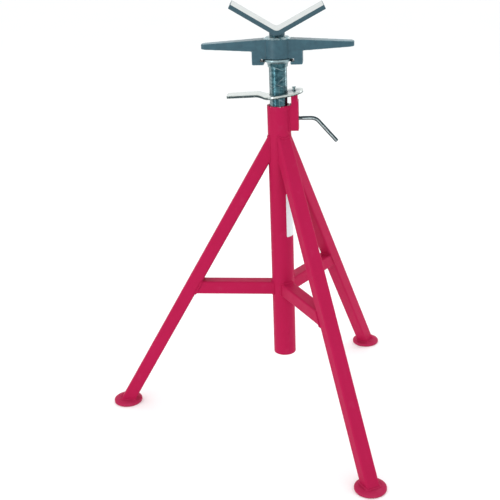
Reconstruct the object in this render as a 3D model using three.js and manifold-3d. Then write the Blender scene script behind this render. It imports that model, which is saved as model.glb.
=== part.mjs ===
// A pipe jack stand: a welded tripod, a sliding post, a screw jack and a V saddle for a pipe.
// Lengths are in millimetres and +Z is up. Each piece is drawn about the post's axis as the Z axis,
// with the floor at z = 0 and the left leg along -X. The stand is then moved along X, so that the
// origin is on the floor in the middle of the three feet's outline.

import * as THREE from 'three';
import { mergeVertices } from 'three/addons/utils/BufferGeometryUtils.js';
import Module from 'manifold-3d';

const wasm = await Module();
wasm.setup();

// Clearances
const seatGap = 0.3; // between pieces that are welded together or rest on each other
const slideGap = 0.8; // all round the post, in the tube
const threadGap = 0.35; // all round the jack screw, in the nut
const boreGap = 0.35; // all round the clamp screw and the stud, in their bores
const overrun = 4; // how far a cutter passes the faces that it cuts
const mergeDistance = 0.0001; // nearer corners than this are one

// Post and its flange
const postDiameter = 33.4;
const postWall = 3;
const postLength = 598;
const postShown = 87.2; // above the tube's rim, up to the top face of the post and its flange
const flangeDiameter = 56;
const flangeRim = 4.6;
const flangeEdge = 1.1; // chamfers of the rim
const flangeFlareHeight = 15.5; // from the flange's top face down to the end of its sleeve
const flangeFlareWidth = 7.2; // how far the flare reaches out from the sleeve
const flangeSleeveWall = 1.4;

// Outer tube
const tubeWall = 4.75;
const tubeBottomZ = 126;
const tubeTopZ = 641;

// Legs, braces and foot pads
const legSide = 26.6;
const legWall = 2.6;
const legCornerRadius = 3;
const innerCornerShare = 0.25; // inner corner radius of a square tube over its wall
const legReach = 344; // where the leg's axis meets the floor, from the post's axis
const legCrossDrop = 49; // from the tube's rim to where the leg's axis meets the post's axis
const braceSide = 26.6;
const braceWall = 2.6;
const braceCornerRadius = 3;
const braceZ = 271;
const padDiameter = 59.5;
const padThickness = 8.4;
const padRimHeight = 6.4;
const padEdgeRadius = 2.4;
const padLandingRadius = 21.5; // the flat part of the top, which the leg stands on

// Clamp bracket, its tab and the stud
const bracketDrop = 48; // from the tube's rim to the bracket's bottom
const bracketRise = 7; // from the tube's rim to the step under the tab
const bracketOuterX = 37;
const bracketWidth = 22;
const tabInnerX = 23.8;
const tabOuterX = 35.4;
const tabHeight = 20; // above the tube's rim
const studDiameter = 4.4;
const studHeadDiameter = 8;
const studHeadHeight = 1.5;
const studHeadEdge = 0.8; // how far the head's edge is rounded off
const studDepth = 6; // in the tab
const studX = 29;
const studRise = 13.8; // from the tab's top to the top of the head

// Lock plate
const lockPlateThickness = 5;
const lockPlateTilt = THREE.MathUtils.degToRad(9); // how far it hangs when it grips
const lockRingRadius = 30; // round the post
const lockEndRadius = 29; // round the tab
const lockEndX = 17;
const lockNeckX = -22.5; // the ring ends here, and the plate bends up to its handle
const lockHandleEndX = -96.5;
const lockHandleBendX = -37.5;
const lockHandleRise = 5; // of the handle's underside at its bend, above the neck
const lockHandleDroop = THREE.MathUtils.degToRad(2.3); // the handle falls towards its end
const lockHandleWidth = 30; // at its end
const lockHandleRootWidth = 36;
const lockHandleCornerRadius = 5;
const lockBlendLength = 10; // from the handle's straight sides to the ring
const lockBlendAngle = THREE.MathUtils.degToRad(120); // where the blend meets the ring
const lockStudHoleDiameter = 9;

// Clamp screw
const clampRodDiameter = 7.3;
const clampDrop = 26; // below the tube's rim
const clampBendX = 69;
const clampBendRadius = 9;
const clampEndRunX = 39.8; // from the bend to the handle's end
const clampEndDrop = 45.2;

// Jack nut, a casting with two arms
const nutHeight = 39.2; // from the post's top to the top of the boss
const nutBossDiameter = 50;
const nutCrownDiameter = 42; // the flat top of the boss
const nutCrownHeight = 4.6; // of the cone between the crown and the boss
const nutEdge = 1.2; // chamfer of the hub's lower edge
const armHalfLength = 140.5;
const armRootDrop = 3.8; // from the top of the boss to the top of the arms
const armRootHeight = 22.4;
const armEndDrop = 10.6; // from the top of the boss to the top of the arms' ends
const armEndHeight = 9.4;
const armRootWidth = 30;
const armEndWidth = 22;
const armEndRadius = 4;
const lugOuterX = 46.6;
const lugWidth = 30;
const lugFootInnerX = 24.4;
const lugFootDrop = 10.8; // from the post's top to the underside of the lugs
const grooveGapX = 3.4; // past the flange's edge
const grooveGapZ = 0.8; // under the flange's rim

// Jack screw
const screwDiameter = 25.4;
const screwLead = 5.08;
const screwThreadDepth = 2.2;
const screwCrestShare = 0.25; // flat crest of the thread over its lead; each flank is as wide
const screwLength = 132; // threaded stem below its shoulder
const screwShoulderDiameter = 27.2;
const screwShoulderHeight = 1.25;
const screwSpigotDiameter = 18;

// Saddle
const saddleThickness = 7.94;
const saddleDepth = 76; // along the pipe
const saddleArmLength = 89; // straight part of an arm's upper face
const saddleLeftAngle = THREE.MathUtils.degToRad(31.5); // the left arm is bent a little steeper
const saddleRightAngle = THREE.MathUtils.degToRad(27.4);
const saddleBendRadius = 11; // inside the bend
const saddleTurn = THREE.MathUtils.degToRad(4.4); // the V isn't square with the arms of the nut
const socketDiameter = 28.6;
const socketHeight = 5.2; // below the bottom of the V plate

// Fineness of round shapes
const tubeSides = 48;
const rodSides = 14;
const roundSteps = 5;
const cornerSteps = 4;
const threadSides = 12;
const threadSteps = 4; // rings in one turn of the thread
const clampSteps = 24;

// Sizes that follow from those above
const postRadius = postDiameter / 2;
const tubeInnerRadius = postRadius + slideGap;
const tubeRadius = tubeInnerRadius + tubeWall;
const legCrossZ = tubeTopZ - legCrossDrop;
const legSlope = Math.atan2(legCrossZ, legReach);
const padCentre = legReach - padThickness / 2 / Math.tan(legSlope);
const bracketBottomZ = tubeTopZ - bracketDrop;
const bracketStepZ = tubeTopZ + bracketRise;
const tabTopZ = tubeTopZ + tabHeight;
const clampZ = tubeTopZ - clampDrop;
const clampRadius = clampRodDiameter / 2;
const screwRadius = screwDiameter / 2;
const nutBoreRadius = screwRadius + threadGap;
const postTopZ = tubeTopZ + postShown;
const nutHubBottomZ = postTopZ + seatGap;
const nutTopZ = postTopZ + nutHeight;
const armRootTopZ = nutTopZ - armRootDrop;
const armRootBottomZ = armRootTopZ - armRootHeight;
const armEndTopZ = nutTopZ - armEndDrop;
const armEndBottomZ = armEndTopZ - armEndHeight;
const lugFootBottomZ = postTopZ - lugFootDrop;
const shoulderZ = nutTopZ + seatGap;
const socketBottomZ = shoulderZ + screwShoulderHeight + seatGap;
const saddleUnderZ = socketBottomZ + socketHeight;
const saddleNotchZ = saddleUnderZ + saddleThickness;

// The finishes of the stand
const finishes = {
  redPaint: { color: 0xb3254a, roughness: 0.5, metalness: 0 },
  zincPlate: { color: 0xb4bcbc, roughness: 0.35, metalness: 0.9 },
  plainSteel: { color: 0x6d8488, roughness: 0.45, metalness: 0.7 },
  greyCasting: { color: 0x4c6a74, roughness: 0.55, metalness: 0.3 },
  darkPlate: { color: 0x48646c, roughness: 0.45, metalness: 0.4 },
};

const stand = new THREE.Group();
stand.position.x = padCentre / 4; // puts the left foot as far from the origin as the right ones

// A closed geometry as a solid, for joining and cutting
function toSolid(geometry) {
  const plain = geometry.index ? geometry.toNonIndexed() : geometry.clone();
  plain.deleteAttribute('normal');
  plain.deleteAttribute('uv');
  const merged = mergeVertices(plain, mergeDistance);
  return new wasm.Manifold(new wasm.Mesh({
    numProp: 3,
    vertProperties: new Float32Array(merged.attributes.position.array),
    triVerts: new Uint32Array(merged.index.array),
  }));
}

function toGeometry(solid) {
  const mesh = solid.getMesh();
  const geometry = new THREE.BufferGeometry();
  geometry.setAttribute('position', new THREE.BufferAttribute(mesh.vertProperties, 3));
  geometry.setIndex(new THREE.BufferAttribute(mesh.triVerts, 1));
  return geometry;
}

function cut(geometry, ...cutters) {
  let solid = toSolid(geometry);
  for (const cutter of cutters) solid = solid.subtract(toSolid(cutter));
  return toGeometry(solid);
}

function join(geometry, ...others) {
  let solid = toSolid(geometry);
  for (const other of others) solid = solid.add(toSolid(other));
  return toGeometry(solid);
}

function overlapOf(geometry, other) {
  return toGeometry(toSolid(geometry).intersect(toSolid(other)));
}

function addPiece(parent, name, geometry, finish) {
  const mesh = new THREE.Mesh(geometry, new THREE.MeshStandardMaterial(finishes[finish]));
  mesh.name = name;
  parent.add(mesh);
  return mesh;
}

// A box from its lowest to its highest corner
function boxBetween(low, high) {
  const box = new THREE.BoxGeometry(high[0] - low[0], high[1] - low[1], high[2] - low[2]);
  box.translate((low[0] + high[0]) / 2, (low[1] + high[1]) / 2, (low[2] + high[2]) / 2);
  return box;
}

// A turned piece about the Z axis, from [radius, z] points that start and end on the axis
function turned(points, sides = tubeSides) {
  const lathe = new THREE.LatheGeometry(points.map(([r, z]) => new THREE.Vector2(r, z)), sides);
  return lathe.rotateX(Math.PI / 2);
}

function cylinderZ(radius, bottomZ, topZ, sides = tubeSides) {
  return turned([[0, bottomZ], [radius, bottomZ], [radius, topZ], [0, topZ]], sides);
}

function cylinderX(radius, fromX, toX, z, sides = rodSides) {
  return cylinderZ(radius, fromX, toX, sides).rotateY(Math.PI / 2).translate(0, 0, z);
}

// An outline of [x, z] points, extruded along Y and centred on y = 0
function profileY(points, depth) {
  const shape = new THREE.Shape(points.map(([x, z]) => new THREE.Vector2(x, z)));
  const slab = new THREE.ExtrudeGeometry(shape, { depth, bevelEnabled: false });
  return slab.translate(0, 0, -depth / 2).rotateX(Math.PI / 2);
}

// An outline of [x, y] points or a Shape, extruded upwards between two heights
function profileZ(outline, bottomZ, topZ) {
  const shape = Array.isArray(outline)
    ? new THREE.Shape(outline.map(([x, y]) => new THREE.Vector2(x, y))) : outline;
  const options = { depth: topZ - bottomZ, bevelEnabled: false, curveSegments: roundSteps };
  return new THREE.ExtrudeGeometry(shape, options).translate(0, 0, bottomZ);
}

// Points of an arc, both ends included
function arc(centreX, centreY, radius, from, to, steps = roundSteps) {
  const points = [];
  for (let i = 0; i <= steps; i++) {
    const angle = from + (to - from) * i / steps;
    points.push([centreX + radius * Math.cos(angle), centreY + radius * Math.sin(angle)]);
  }
  return points;
}

// A rectangle with rounded corners, centred on the origin
function roundedRectangle(width, height, radius) {
  const x = width / 2 - radius;
  const y = height / 2 - radius;
  return [
    ...arc(x, y, radius, 0, Math.PI / 2, cornerSteps),
    ...arc(-x, y, radius, Math.PI / 2, Math.PI, cornerSteps),
    ...arc(-x, -y, radius, Math.PI, Math.PI * 1.5, cornerSteps),
    ...arc(x, -y, radius, Math.PI * 1.5, Math.PI * 2, cornerSteps),
  ];
}

// A straight square tube along Z with rounded edges
function squareTube(side, wall, cornerRadius, length) {
  const toPoints = (list) => list.map(([x, y]) => new THREE.Vector2(x, y));
  const shape = new THREE.Shape(toPoints(roundedRectangle(side, side, cornerRadius)));
  const innerSide = side - 2 * wall;
  const inner = roundedRectangle(innerSide, innerSide, wall * innerCornerShare);
  shape.holes.push(new THREE.Path(toPoints(inner)));
  return new THREE.ExtrudeGeometry(shape, { depth: length, bevelEnabled: false });
}

// Outer tube, bored through on its right side for the clamp screw
function makeOuterTube() {
  const wall = turned([
    [tubeInnerRadius, tubeBottomZ], [tubeRadius, tubeBottomZ],
    [tubeRadius, tubeTopZ], [tubeInnerRadius, tubeTopZ], [tubeInnerRadius, tubeBottomZ],
  ]);
  return cut(wall, cylinderX(clampRadius + boreGap, postRadius, tubeRadius + overrun, clampZ));
}

// The leg's own frame: local z runs up the leg from the floor, local x is its upper side
function alongLeg(geometry) {
  return geometry.rotateY(legSlope - Math.PI / 2).translate(legReach, 0, 0);
}

function tubeCutter() {
  return cylinderZ(tubeRadius + seatGap, tubeBottomZ - overrun, legCrossZ + legSide * 2);
}

// One leg, drawn along +X: coped onto the tube and cut level above its pad
function makeLeg() {
  const length = Math.hypot(legReach, legCrossZ);
  const bar = squareTube(legSide, legWall, legCornerRadius, length + legSide);
  const leg = alongLeg(bar.translate(0, 0, -legSide));
  const ground = boxBetween(
    [legReach - padDiameter, -padDiameter, -padDiameter],
    [legReach + padDiameter, padDiameter, padThickness + seatGap],
  );
  return cut(leg, tubeCutter(), ground);
}

// One brace, drawn along +X: coped onto the tube and mitred against the leg's inner face
function makeBrace() {
  const bar = squareTube(braceSide, braceWall, braceCornerRadius, legReach);
  const brace = bar.rotateY(Math.PI / 2).translate(0, 0, braceZ);
  const innerFace = -legSide / 2 - seatGap;
  const legSpace = boxBetween(
    [innerFace, -braceSide, 0],
    [innerFace + legReach, braceSide, Math.hypot(legReach, legCrossZ)],
  );
  return cut(brace, tubeCutter(), alongLeg(legSpace));
}

// A round foot pad with a rounded rim
function makePad() {
  const radius = padDiameter / 2;
  const inner = radius - padEdgeRadius;
  return turned([
    [0, 0],
    ...arc(inner, padEdgeRadius, padEdgeRadius, -Math.PI / 2, 0, cornerSteps),
    ...arc(inner, padRimHeight - padEdgeRadius, padEdgeRadius, 0, Math.PI / 2, cornerSteps),
    [padLandingRadius, padThickness],
    [0, padThickness],
  ], tubeSides).translate(padCentre, 0, 0);
}

// The three legs with their braces and pads stand 120 degrees apart
const legTurns = { left: Math.PI, front: -Math.PI / 3, back: Math.PI / 3 };
addPiece(stand, 'outer_tube', makeOuterTube(), 'redPaint');
for (const [side, turn] of Object.entries(legTurns)) {
  const legGroup = new THREE.Group();
  legGroup.rotation.z = turn;
  stand.add(legGroup);
  addPiece(legGroup, `leg_${side}`, makeLeg(), 'redPaint');
  addPiece(legGroup, `brace_${side}`, makeBrace(), 'redPaint');
  addPiece(legGroup, `foot_${side}`, makePad(), 'redPaint');
}

// The bracket is a bar coped onto the tube. Its tab stands up beside the post.
function makeClampBracket() {
  const bar = profileY([
    [postRadius, bracketBottomZ], [bracketOuterX, bracketBottomZ], [bracketOuterX, bracketStepZ],
    [tabOuterX, bracketStepZ + bracketOuterX - tabOuterX], [tabOuterX, tabTopZ],
    [tabInnerX, tabTopZ], [tabInnerX, tubeTopZ], [postRadius, tubeTopZ],
  ], bracketWidth);
  const studHoleZ = tabTopZ - studDepth - seatGap;
  return cut(
    bar,
    cylinderZ(tubeRadius + seatGap, bracketBottomZ - overrun, tabTopZ),
    cylinderX(clampRadius + boreGap, 0, bracketOuterX + overrun, clampZ),
    cylinderZ(studDiameter / 2 + boreGap, studHoleZ, tabTopZ + overrun, rodSides)
      .translate(studX, 0, 0),
  );
}

function makeRetainerStud() {
  const topZ = tabTopZ + studRise;
  return turned([
    [0, tabTopZ - studDepth], [studDiameter / 2, tabTopZ - studDepth],
    [studDiameter / 2, topZ - studHeadHeight], [studHeadDiameter / 2, topZ - studHeadHeight],
    [studHeadDiameter / 2, topZ - studHeadEdge], [studHeadDiameter / 2 - studHeadEdge, topZ],
    [0, topZ],
  ], rodSides).translate(studX, 0, 0);
}

addPiece(stand, 'clamp_bracket', makeClampBracket(), 'redPaint');
addPiece(stand, 'retainer_stud', makeRetainerStud(), 'plainSteel');

// The lock plate rocks on the tab's inner edge, and hangs down towards its handle
const lockSlope = Math.tan(lockPlateTilt);
const lockUnderZ = tabTopZ + seatGap - tabInnerX * lockSlope; // underside at the post's axis
const lockRise = lockPlateThickness / Math.cos(lockPlateTilt); // upright thickness of the tilted part

// Its side view: the handle, the neck that steps down from it, and the tilted ring
function lockSideView() {
  const startX = lockHandleEndX - overrun;
  const endX = lockEndX + lockEndRadius + overrun;
  const underAt = (x) => lockUnderZ + x * lockSlope;
  const bendZ = underAt(lockNeckX) + lockHandleRise;
  const underside = [
    [startX, bendZ + (startX - lockHandleBendX) * Math.tan(lockHandleDroop)],
    [lockHandleBendX, bendZ], [lockNeckX, underAt(lockNeckX)], [endX, underAt(endX)],
  ];
  const topside = underside.map(([x, z]) => [x, z + lockRise]);
  return [...underside, ...topside.reverse()];
}

// Its outline from above: two circles with common tangents, and the handle to the left
function lockOutline() {
  const half = lockHandleWidth / 2;
  const rootHalf = lockHandleRootWidth / 2;
  const tangentAngle = Math.acos((lockRingRadius - lockEndRadius) / lockEndX);
  const corner = lockHandleCornerRadius;
  const blendEndX = -Math.sqrt(lockRingRadius ** 2 - rootHalf ** 2);
  const blendStartX = blendEndX - lockBlendLength;
  const ringX = lockRingRadius * Math.cos(lockBlendAngle);
  const ringY = lockRingRadius * Math.sin(lockBlendAngle);
  const shape = new THREE.Shape();
  shape.moveTo(blendStartX, -rootHalf);
  shape.quadraticCurveTo(blendEndX, -rootHalf, ringX, -ringY);
  shape.absarc(0, 0, lockRingRadius, -lockBlendAngle, -tangentAngle, false);
  shape.absarc(lockEndX, 0, lockEndRadius, -tangentAngle, tangentAngle, false);
  shape.absarc(0, 0, lockRingRadius, tangentAngle, lockBlendAngle, false);
  shape.quadraticCurveTo(blendEndX, rootHalf, blendStartX, rootHalf);
  shape.lineTo(lockHandleEndX + corner, half);
  shape.absarc(lockHandleEndX + corner, half - corner, corner, Math.PI / 2, Math.PI, false);
  shape.absarc(lockHandleEndX + corner, corner - half, corner, Math.PI, Math.PI * 1.5, false);
  return shape;
}

function makeLockPlate() {
  const slab = profileY(lockSideView(), 2 * lockEndRadius + 2 * overrun);
  const lowZ = lockUnderZ + lockHandleEndX * lockSlope - overrun;
  const highZ = lockUnderZ + lockEndRadius * 2 * lockSlope + lockRise + overrun;
  const plate = overlapOf(slab, profileZ(lockOutline(), lowZ, highZ));
  // The hole is just wide enough for the post when the plate hangs at its tilt
  const gripWidth = postDiameter + 2 * seatGap + lockRise * Math.sin(lockPlateTilt);
  const holeRadius = gripWidth / Math.cos(lockPlateTilt) / 2;
  const middleZ = lockUnderZ + lockRise / 2;
  const postHole = cylinderZ(holeRadius, -lockRise - overrun, lockRise + overrun)
    .rotateY(-lockPlateTilt).translate(0, 0, middleZ);
  const studHole = cylinderZ(lockStudHoleDiameter / 2, lowZ, highZ, rodSides).translate(studX, 0, 0);
  return cut(plate, postHole, studHole);
}

addPiece(stand, 'lock_plate', makeLockPlate(), 'zincPlate');

// The clamp screw is one rod: its tip meets the post, and its outer end bends down as a handle
function makeClampScrew() {
  const endRun = new THREE.Vector3(clampEndRunX, 0, -clampEndDrop);
  const bend = new THREE.Vector3(clampBendX, 0, clampZ);
  const before = bend.clone().setX(clampBendX - clampBendRadius);
  const after = bend.clone().addScaledVector(endRun.clone().normalize(), clampBendRadius);
  const path = new THREE.CurvePath();
  path.add(new THREE.LineCurve3(new THREE.Vector3(postRadius + seatGap, 0, clampZ), before));
  path.add(new THREE.QuadraticBezierCurve3(before, bend, after));
  path.add(new THREE.LineCurve3(after, bend.clone().add(endRun)));
  const section = new THREE.Shape();
  section.absarc(0, 0, clampRadius, 0, Math.PI * 2, false);
  const curveSegments = rodSides / 2;
  const options = { steps: clampSteps, extrudePath: path, curveSegments, bevelEnabled: false };
  return new THREE.ExtrudeGeometry(section, options);
}

addPiece(stand, 'clamp_screw', makeClampScrew(), 'zincPlate');

// Post and flange
function makePost() {
  const innerRadius = postRadius - postWall;
  return turned([
    [innerRadius, postTopZ - postLength], [postRadius, postTopZ - postLength],
    [postRadius, postTopZ], [innerRadius, postTopZ], [innerRadius, postTopZ - postLength],
  ]);
}

// The flange flares out from a short sleeve round the post
function makePostFlange() {
  const sleeveInner = postRadius + seatGap;
  const sleeveOuter = sleeveInner + flangeSleeveWall;
  const rimRadius = flangeDiameter / 2;
  const rimUnderZ = postTopZ - flangeRim;
  const sleeveZ = postTopZ - flangeFlareHeight;
  const flareHeight = rimUnderZ - sleeveZ;
  const flare = [];
  for (let i = 0; i <= roundSteps; i++) {
    const angle = Math.PI / 2 * i / roundSteps;
    flare.push([
      sleeveOuter + flangeFlareWidth * (1 - Math.cos(angle)),
      sleeveZ + flareHeight * Math.sin(angle),
    ]);
  }
  return turned([
    [sleeveInner, sleeveZ], ...flare,
    [rimRadius - flangeEdge, rimUnderZ], [rimRadius, rimUnderZ + flangeEdge],
    [rimRadius, postTopZ - flangeEdge], [rimRadius - flangeEdge, postTopZ],
    [sleeveInner, postTopZ], [sleeveInner, sleeveZ],
  ]);
}

addPiece(stand, 'post', makePost(), 'plainSteel');
addPiece(stand, 'post_flange', makePostFlange(), 'zincPlate');

// The nut's two arms taper in height and in width towards their rounded ends
function makeArms() {
  const frontView = [
    [-armHalfLength, armEndBottomZ], [-lugFootInnerX, armRootBottomZ],
    [lugFootInnerX, armRootBottomZ], [armHalfLength, armEndBottomZ],
    [armHalfLength, armEndTopZ], [lugFootInnerX, armRootTopZ],
    [-lugFootInnerX, armRootTopZ], [-armHalfLength, armEndTopZ],
  ];
  const endX = armHalfLength - armEndRadius;
  const endY = armEndWidth / 2 - armEndRadius;
  const topView = [
    [-lugFootInnerX, -armRootWidth / 2], [lugFootInnerX, -armRootWidth / 2],
    ...arc(endX, -endY, armEndRadius, -Math.PI / 2, 0, cornerSteps),
    ...arc(endX, endY, armEndRadius, 0, Math.PI / 2, cornerSteps),
    [lugFootInnerX, armRootWidth / 2], [-lugFootInnerX, armRootWidth / 2],
    ...arc(-endX, endY, armEndRadius, Math.PI / 2, Math.PI, cornerSteps),
    ...arc(-endX, -endY, armEndRadius, Math.PI, Math.PI * 1.5, cornerSteps),
  ];
  const slab = profileY(frontView, armRootWidth + 2 * overrun);
  return overlapOf(slab, profileZ(topView, armRootBottomZ - overrun, armRootTopZ + overrun));
}

// One hooked lug: it hangs from the arm and its foot reaches in under the flange's rim
function makeLug() {
  const grooveX = flangeDiameter / 2 + grooveGapX;
  const footTopZ = postTopZ - flangeRim - grooveGapZ;
  return profileY([
    [nutBoreRadius, nutHubBottomZ], [grooveX, nutHubBottomZ], [grooveX, footTopZ],
    [lugFootInnerX, footTopZ], [lugFootInnerX, lugFootBottomZ], [lugOuterX, lugFootBottomZ],
    [lugOuterX, armRootBottomZ + seatGap], [nutBoreRadius, armRootBottomZ + seatGap],
  ], lugWidth);
}

function makeJackNut() {
  const bossRadius = nutBossDiameter / 2;
  const hub = turned([
    [0, nutHubBottomZ], [bossRadius - nutEdge, nutHubBottomZ],
    [bossRadius, nutHubBottomZ + nutEdge], [bossRadius, nutTopZ - nutCrownHeight],
    [nutCrownDiameter / 2, nutTopZ], [0, nutTopZ],
  ]);
  const casting = join(makeArms(), hub, makeLug(), makeLug().rotateZ(Math.PI));
  const bore = cylinderZ(nutBoreRadius, nutHubBottomZ - overrun, nutTopZ + overrun);
  return cut(casting, bore);
}

addPiece(stand, 'jack_nut', makeJackNut(), 'greyCasting');

// The threaded stem: a round bar whose surface follows a single trapezoidal thread
function makeThread(bottomZ, topZ) {
  const turns = (topZ - bottomZ) / screwLead;
  const rings = Math.round(turns * threadSteps);
  const positions = [0, 0, bottomZ, 0, 0, topZ];
  const faces = [];
  for (let ring = 0; ring <= rings; ring++) {
    for (let side = 0; side < threadSides; side++) {
      const phase = THREE.MathUtils.euclideanModulo(ring / threadSteps - side / threadSides, 1);
      const fromCrest = Math.abs(phase - 1 / 2);
      const depthShare = THREE.MathUtils.clamp(fromCrest / screwCrestShare - 1 / 2, 0, 1);
      const radius = screwRadius - screwThreadDepth * depthShare;
      const angle = side / threadSides * Math.PI * 2;
      const z = bottomZ + (topZ - bottomZ) * ring / rings;
      positions.push(radius * Math.cos(angle), radius * Math.sin(angle), z);
    }
  }
  const at = (ring, side) => 2 + ring * threadSides + side % threadSides;
  for (let side = 0; side < threadSides; side++) {
    faces.push(0, at(0, side + 1), at(0, side));
    faces.push(1, at(rings, side), at(rings, side + 1));
    for (let ring = 0; ring < rings; ring++) {
      faces.push(at(ring, side), at(ring, side + 1), at(ring + 1, side));
      faces.push(at(ring, side + 1), at(ring + 1, side + 1), at(ring + 1, side));
    }
  }
  const geometry = new THREE.BufferGeometry();
  geometry.setAttribute('position', new THREE.Float32BufferAttribute(positions, 3));
  geometry.setIndex(faces);
  return geometry;
}

// The stem's shoulder sits on the nut when the saddle is fully down
function makeJackScrew() {
  const shoulder = turned([
    [0, shoulderZ - screwLead], [screwRadius - screwThreadDepth, shoulderZ - screwLead],
    [screwRadius - screwThreadDepth, shoulderZ], [screwShoulderDiameter / 2, shoulderZ],
    [screwShoulderDiameter / 2, socketBottomZ - seatGap],
    [screwSpigotDiameter / 2, socketBottomZ - seatGap],
    [screwSpigotDiameter / 2, saddleUnderZ - seatGap], [0, saddleUnderZ - seatGap],
  ]);
  return join(shoulder, makeThread(shoulderZ - screwLength, shoulderZ - screwLead / 2));
}

// The V plate's outline between an upper and a lower side, each a bend between two straight arms
function saddleOutline(thickness) {
  const bendZ = saddleNotchZ + saddleBendRadius;
  const down = -Math.PI / 2;
  const side = (radius, sign) => {
    const angle = sign < 0 ? saddleLeftAngle : saddleRightAngle;
    const bend = arc(0, bendZ, radius, down, down + angle, roundSteps);
    const [x, z] = bend[bend.length - 1];
    const tip = [x + saddleArmLength * Math.cos(angle), z + saddleArmLength * Math.sin(angle)];
    return [...bend, tip].map(([px, pz]) => [sign * px, pz]);
  };
  const upper = saddleBendRadius;
  const lower = saddleBendRadius + thickness;
  return [
    ...side(lower, -1).reverse(), ...side(lower, 1).slice(1),
    ...side(upper, 1).reverse(), ...side(upper, -1).slice(1),
  ];
}

function makeSaddlePlate() {
  return profileY(saddleOutline(saddleThickness), saddleDepth);
}

// The socket is a ring welded under the bend, so its top follows the bend
function makeSaddleSocket() {
  const ring = turned([
    [screwSpigotDiameter / 2 + seatGap, socketBottomZ], [socketDiameter / 2, socketBottomZ],
    [socketDiameter / 2, saddleNotchZ], [screwSpigotDiameter / 2 + seatGap, saddleNotchZ],
    [screwSpigotDiameter / 2 + seatGap, socketBottomZ],
  ]);
  const plateSpace = profileY(saddleOutline(saddleThickness + seatGap), saddleDepth);
  const above = cylinderZ(socketDiameter, saddleNotchZ - seatGap, saddleNotchZ + overrun);
  return cut(ring, plateSpace, above);
}

const saddle = new THREE.Group();
saddle.rotation.z = saddleTurn;
stand.add(saddle);
addPiece(saddle, 'jack_screw', makeJackScrew(), 'plainSteel');
addPiece(saddle, 'saddle_socket', makeSaddleSocket(), 'darkPlate');
addPiece(saddle, 'saddle_plate', makeSaddlePlate(), 'zincPlate');

export default stand;
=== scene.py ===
# A pipe jack stand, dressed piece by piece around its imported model. Lengths are in metres.
from math import atan2, cos, pi, radians, sin, sqrt, tan, tau

import bmesh
import bpy
from mathutils import Matrix, Quaternion, Vector


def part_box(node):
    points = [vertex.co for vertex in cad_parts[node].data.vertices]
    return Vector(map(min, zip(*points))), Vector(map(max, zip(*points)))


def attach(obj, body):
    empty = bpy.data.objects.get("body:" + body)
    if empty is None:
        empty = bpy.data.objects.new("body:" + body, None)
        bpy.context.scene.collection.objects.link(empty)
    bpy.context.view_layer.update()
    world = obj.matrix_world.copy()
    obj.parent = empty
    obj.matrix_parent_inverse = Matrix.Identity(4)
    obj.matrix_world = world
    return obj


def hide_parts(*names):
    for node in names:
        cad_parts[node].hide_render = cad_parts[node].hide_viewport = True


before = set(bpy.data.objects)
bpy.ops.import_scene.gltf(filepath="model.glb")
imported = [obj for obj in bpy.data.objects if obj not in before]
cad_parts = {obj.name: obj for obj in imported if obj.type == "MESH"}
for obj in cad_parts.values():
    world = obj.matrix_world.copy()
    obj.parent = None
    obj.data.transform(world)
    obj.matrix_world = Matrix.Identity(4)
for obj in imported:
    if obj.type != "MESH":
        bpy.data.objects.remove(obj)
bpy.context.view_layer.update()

mm = 0.001
seatGap = 0.3 * mm  # between pieces that are welded together or rest on each other
overrun = 4 * mm  # how far a cutter passes the face that it cuts
samePoint = 0.002 * mm  # nearer points than this are one
postBox = [Vector(corner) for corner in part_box("post")]
tubeBox = [Vector(corner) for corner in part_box("outer_tube")]
postAxis = Vector(((postBox[0].x + postBox[1].x) / 2, 0, 0))  # every piece is drawn about this axis
postRadius = (postBox[1].x - postBox[0].x) / 2
tubeRadius = (tubeBox[1].x - tubeBox[0].x) / 2


def addObject(name, data):
    # Puts a mesh, a light or a camera into the scene
    made = bpy.data.objects.new(name, data)
    bpy.context.collection.objects.link(made)
    return made


# Camera

photoCamera = dict(
    place=(131.85 * mm, -1716 * mm, 1011.6 * mm),  # from the foot of the post's axis
    yaw=radians(-6.545),  # from +Y towards +X
    pitch=radians(-21),
    roll=radians(-2.245),
    lens=66.73,
    sensor=36,
    near=0.05,
    far=100,
)


def makeCamera():
    c = photoCamera
    data = bpy.data.cameras.new("photoCamera")
    data.lens = c["lens"]
    data.sensor_width = c["sensor"]
    data.clip_start = c["near"]
    data.clip_end = c["far"]
    camera = addObject("photoCamera", data)
    forward = Vector((sin(c["yaw"]) * cos(c["pitch"]), cos(c["yaw"]) * cos(c["pitch"]), sin(c["pitch"])))
    camera.location = postAxis + Vector(c["place"])
    camera.rotation_mode = "QUATERNION"
    camera.rotation_quaternion = forward.to_track_quat("-Z", "Y") @ Quaternion((0, 0, 1), c["roll"])
    bpy.context.scene.camera = camera


makeCamera()
print("camera ready")


# Materials

# Widths of patterns are in millimetres. A pair is where a pattern starts and where it is full, or from the
# glossiest to the dullest roughness, or in a relief the strength of the bumps and their depth in millimetres
noiseLow, noiseHigh = 0.3, 0.7  # most of a noise's values lie between these


def hexToLinear(hexColour):
    shares = [int(hexColour[i:i + 2], 16) / 255 for i in (1, 3, 5)]
    linear = [s / 12.92 if s <= 0.04045 else ((s + 0.055) / 1.055) ** 2.4 for s in shares]
    return (*linear, 1.0)


def addNode(tree, kind, settings=None, links=None):
    # In a colour Mix node input 0 is the share, 6 and 7 are the colours, and output 2 is the result
    node = tree.nodes.new(kind)
    for key, value in (settings or {}).items():
        if isinstance(value, str) and value.startswith("#"):
            value = hexToLinear(value)
        if isinstance(key, str) and hasattr(node, key):
            setattr(node, key, value)
        else:
            node.inputs[key].default_value = value
    for key, source in (links or {}).items():
        tree.links.new(source, node.inputs[key])
    return node


def perMm(size):
    return 1 / (size * mm)  # a noise scale whose features are about this many millimetres wide


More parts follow.
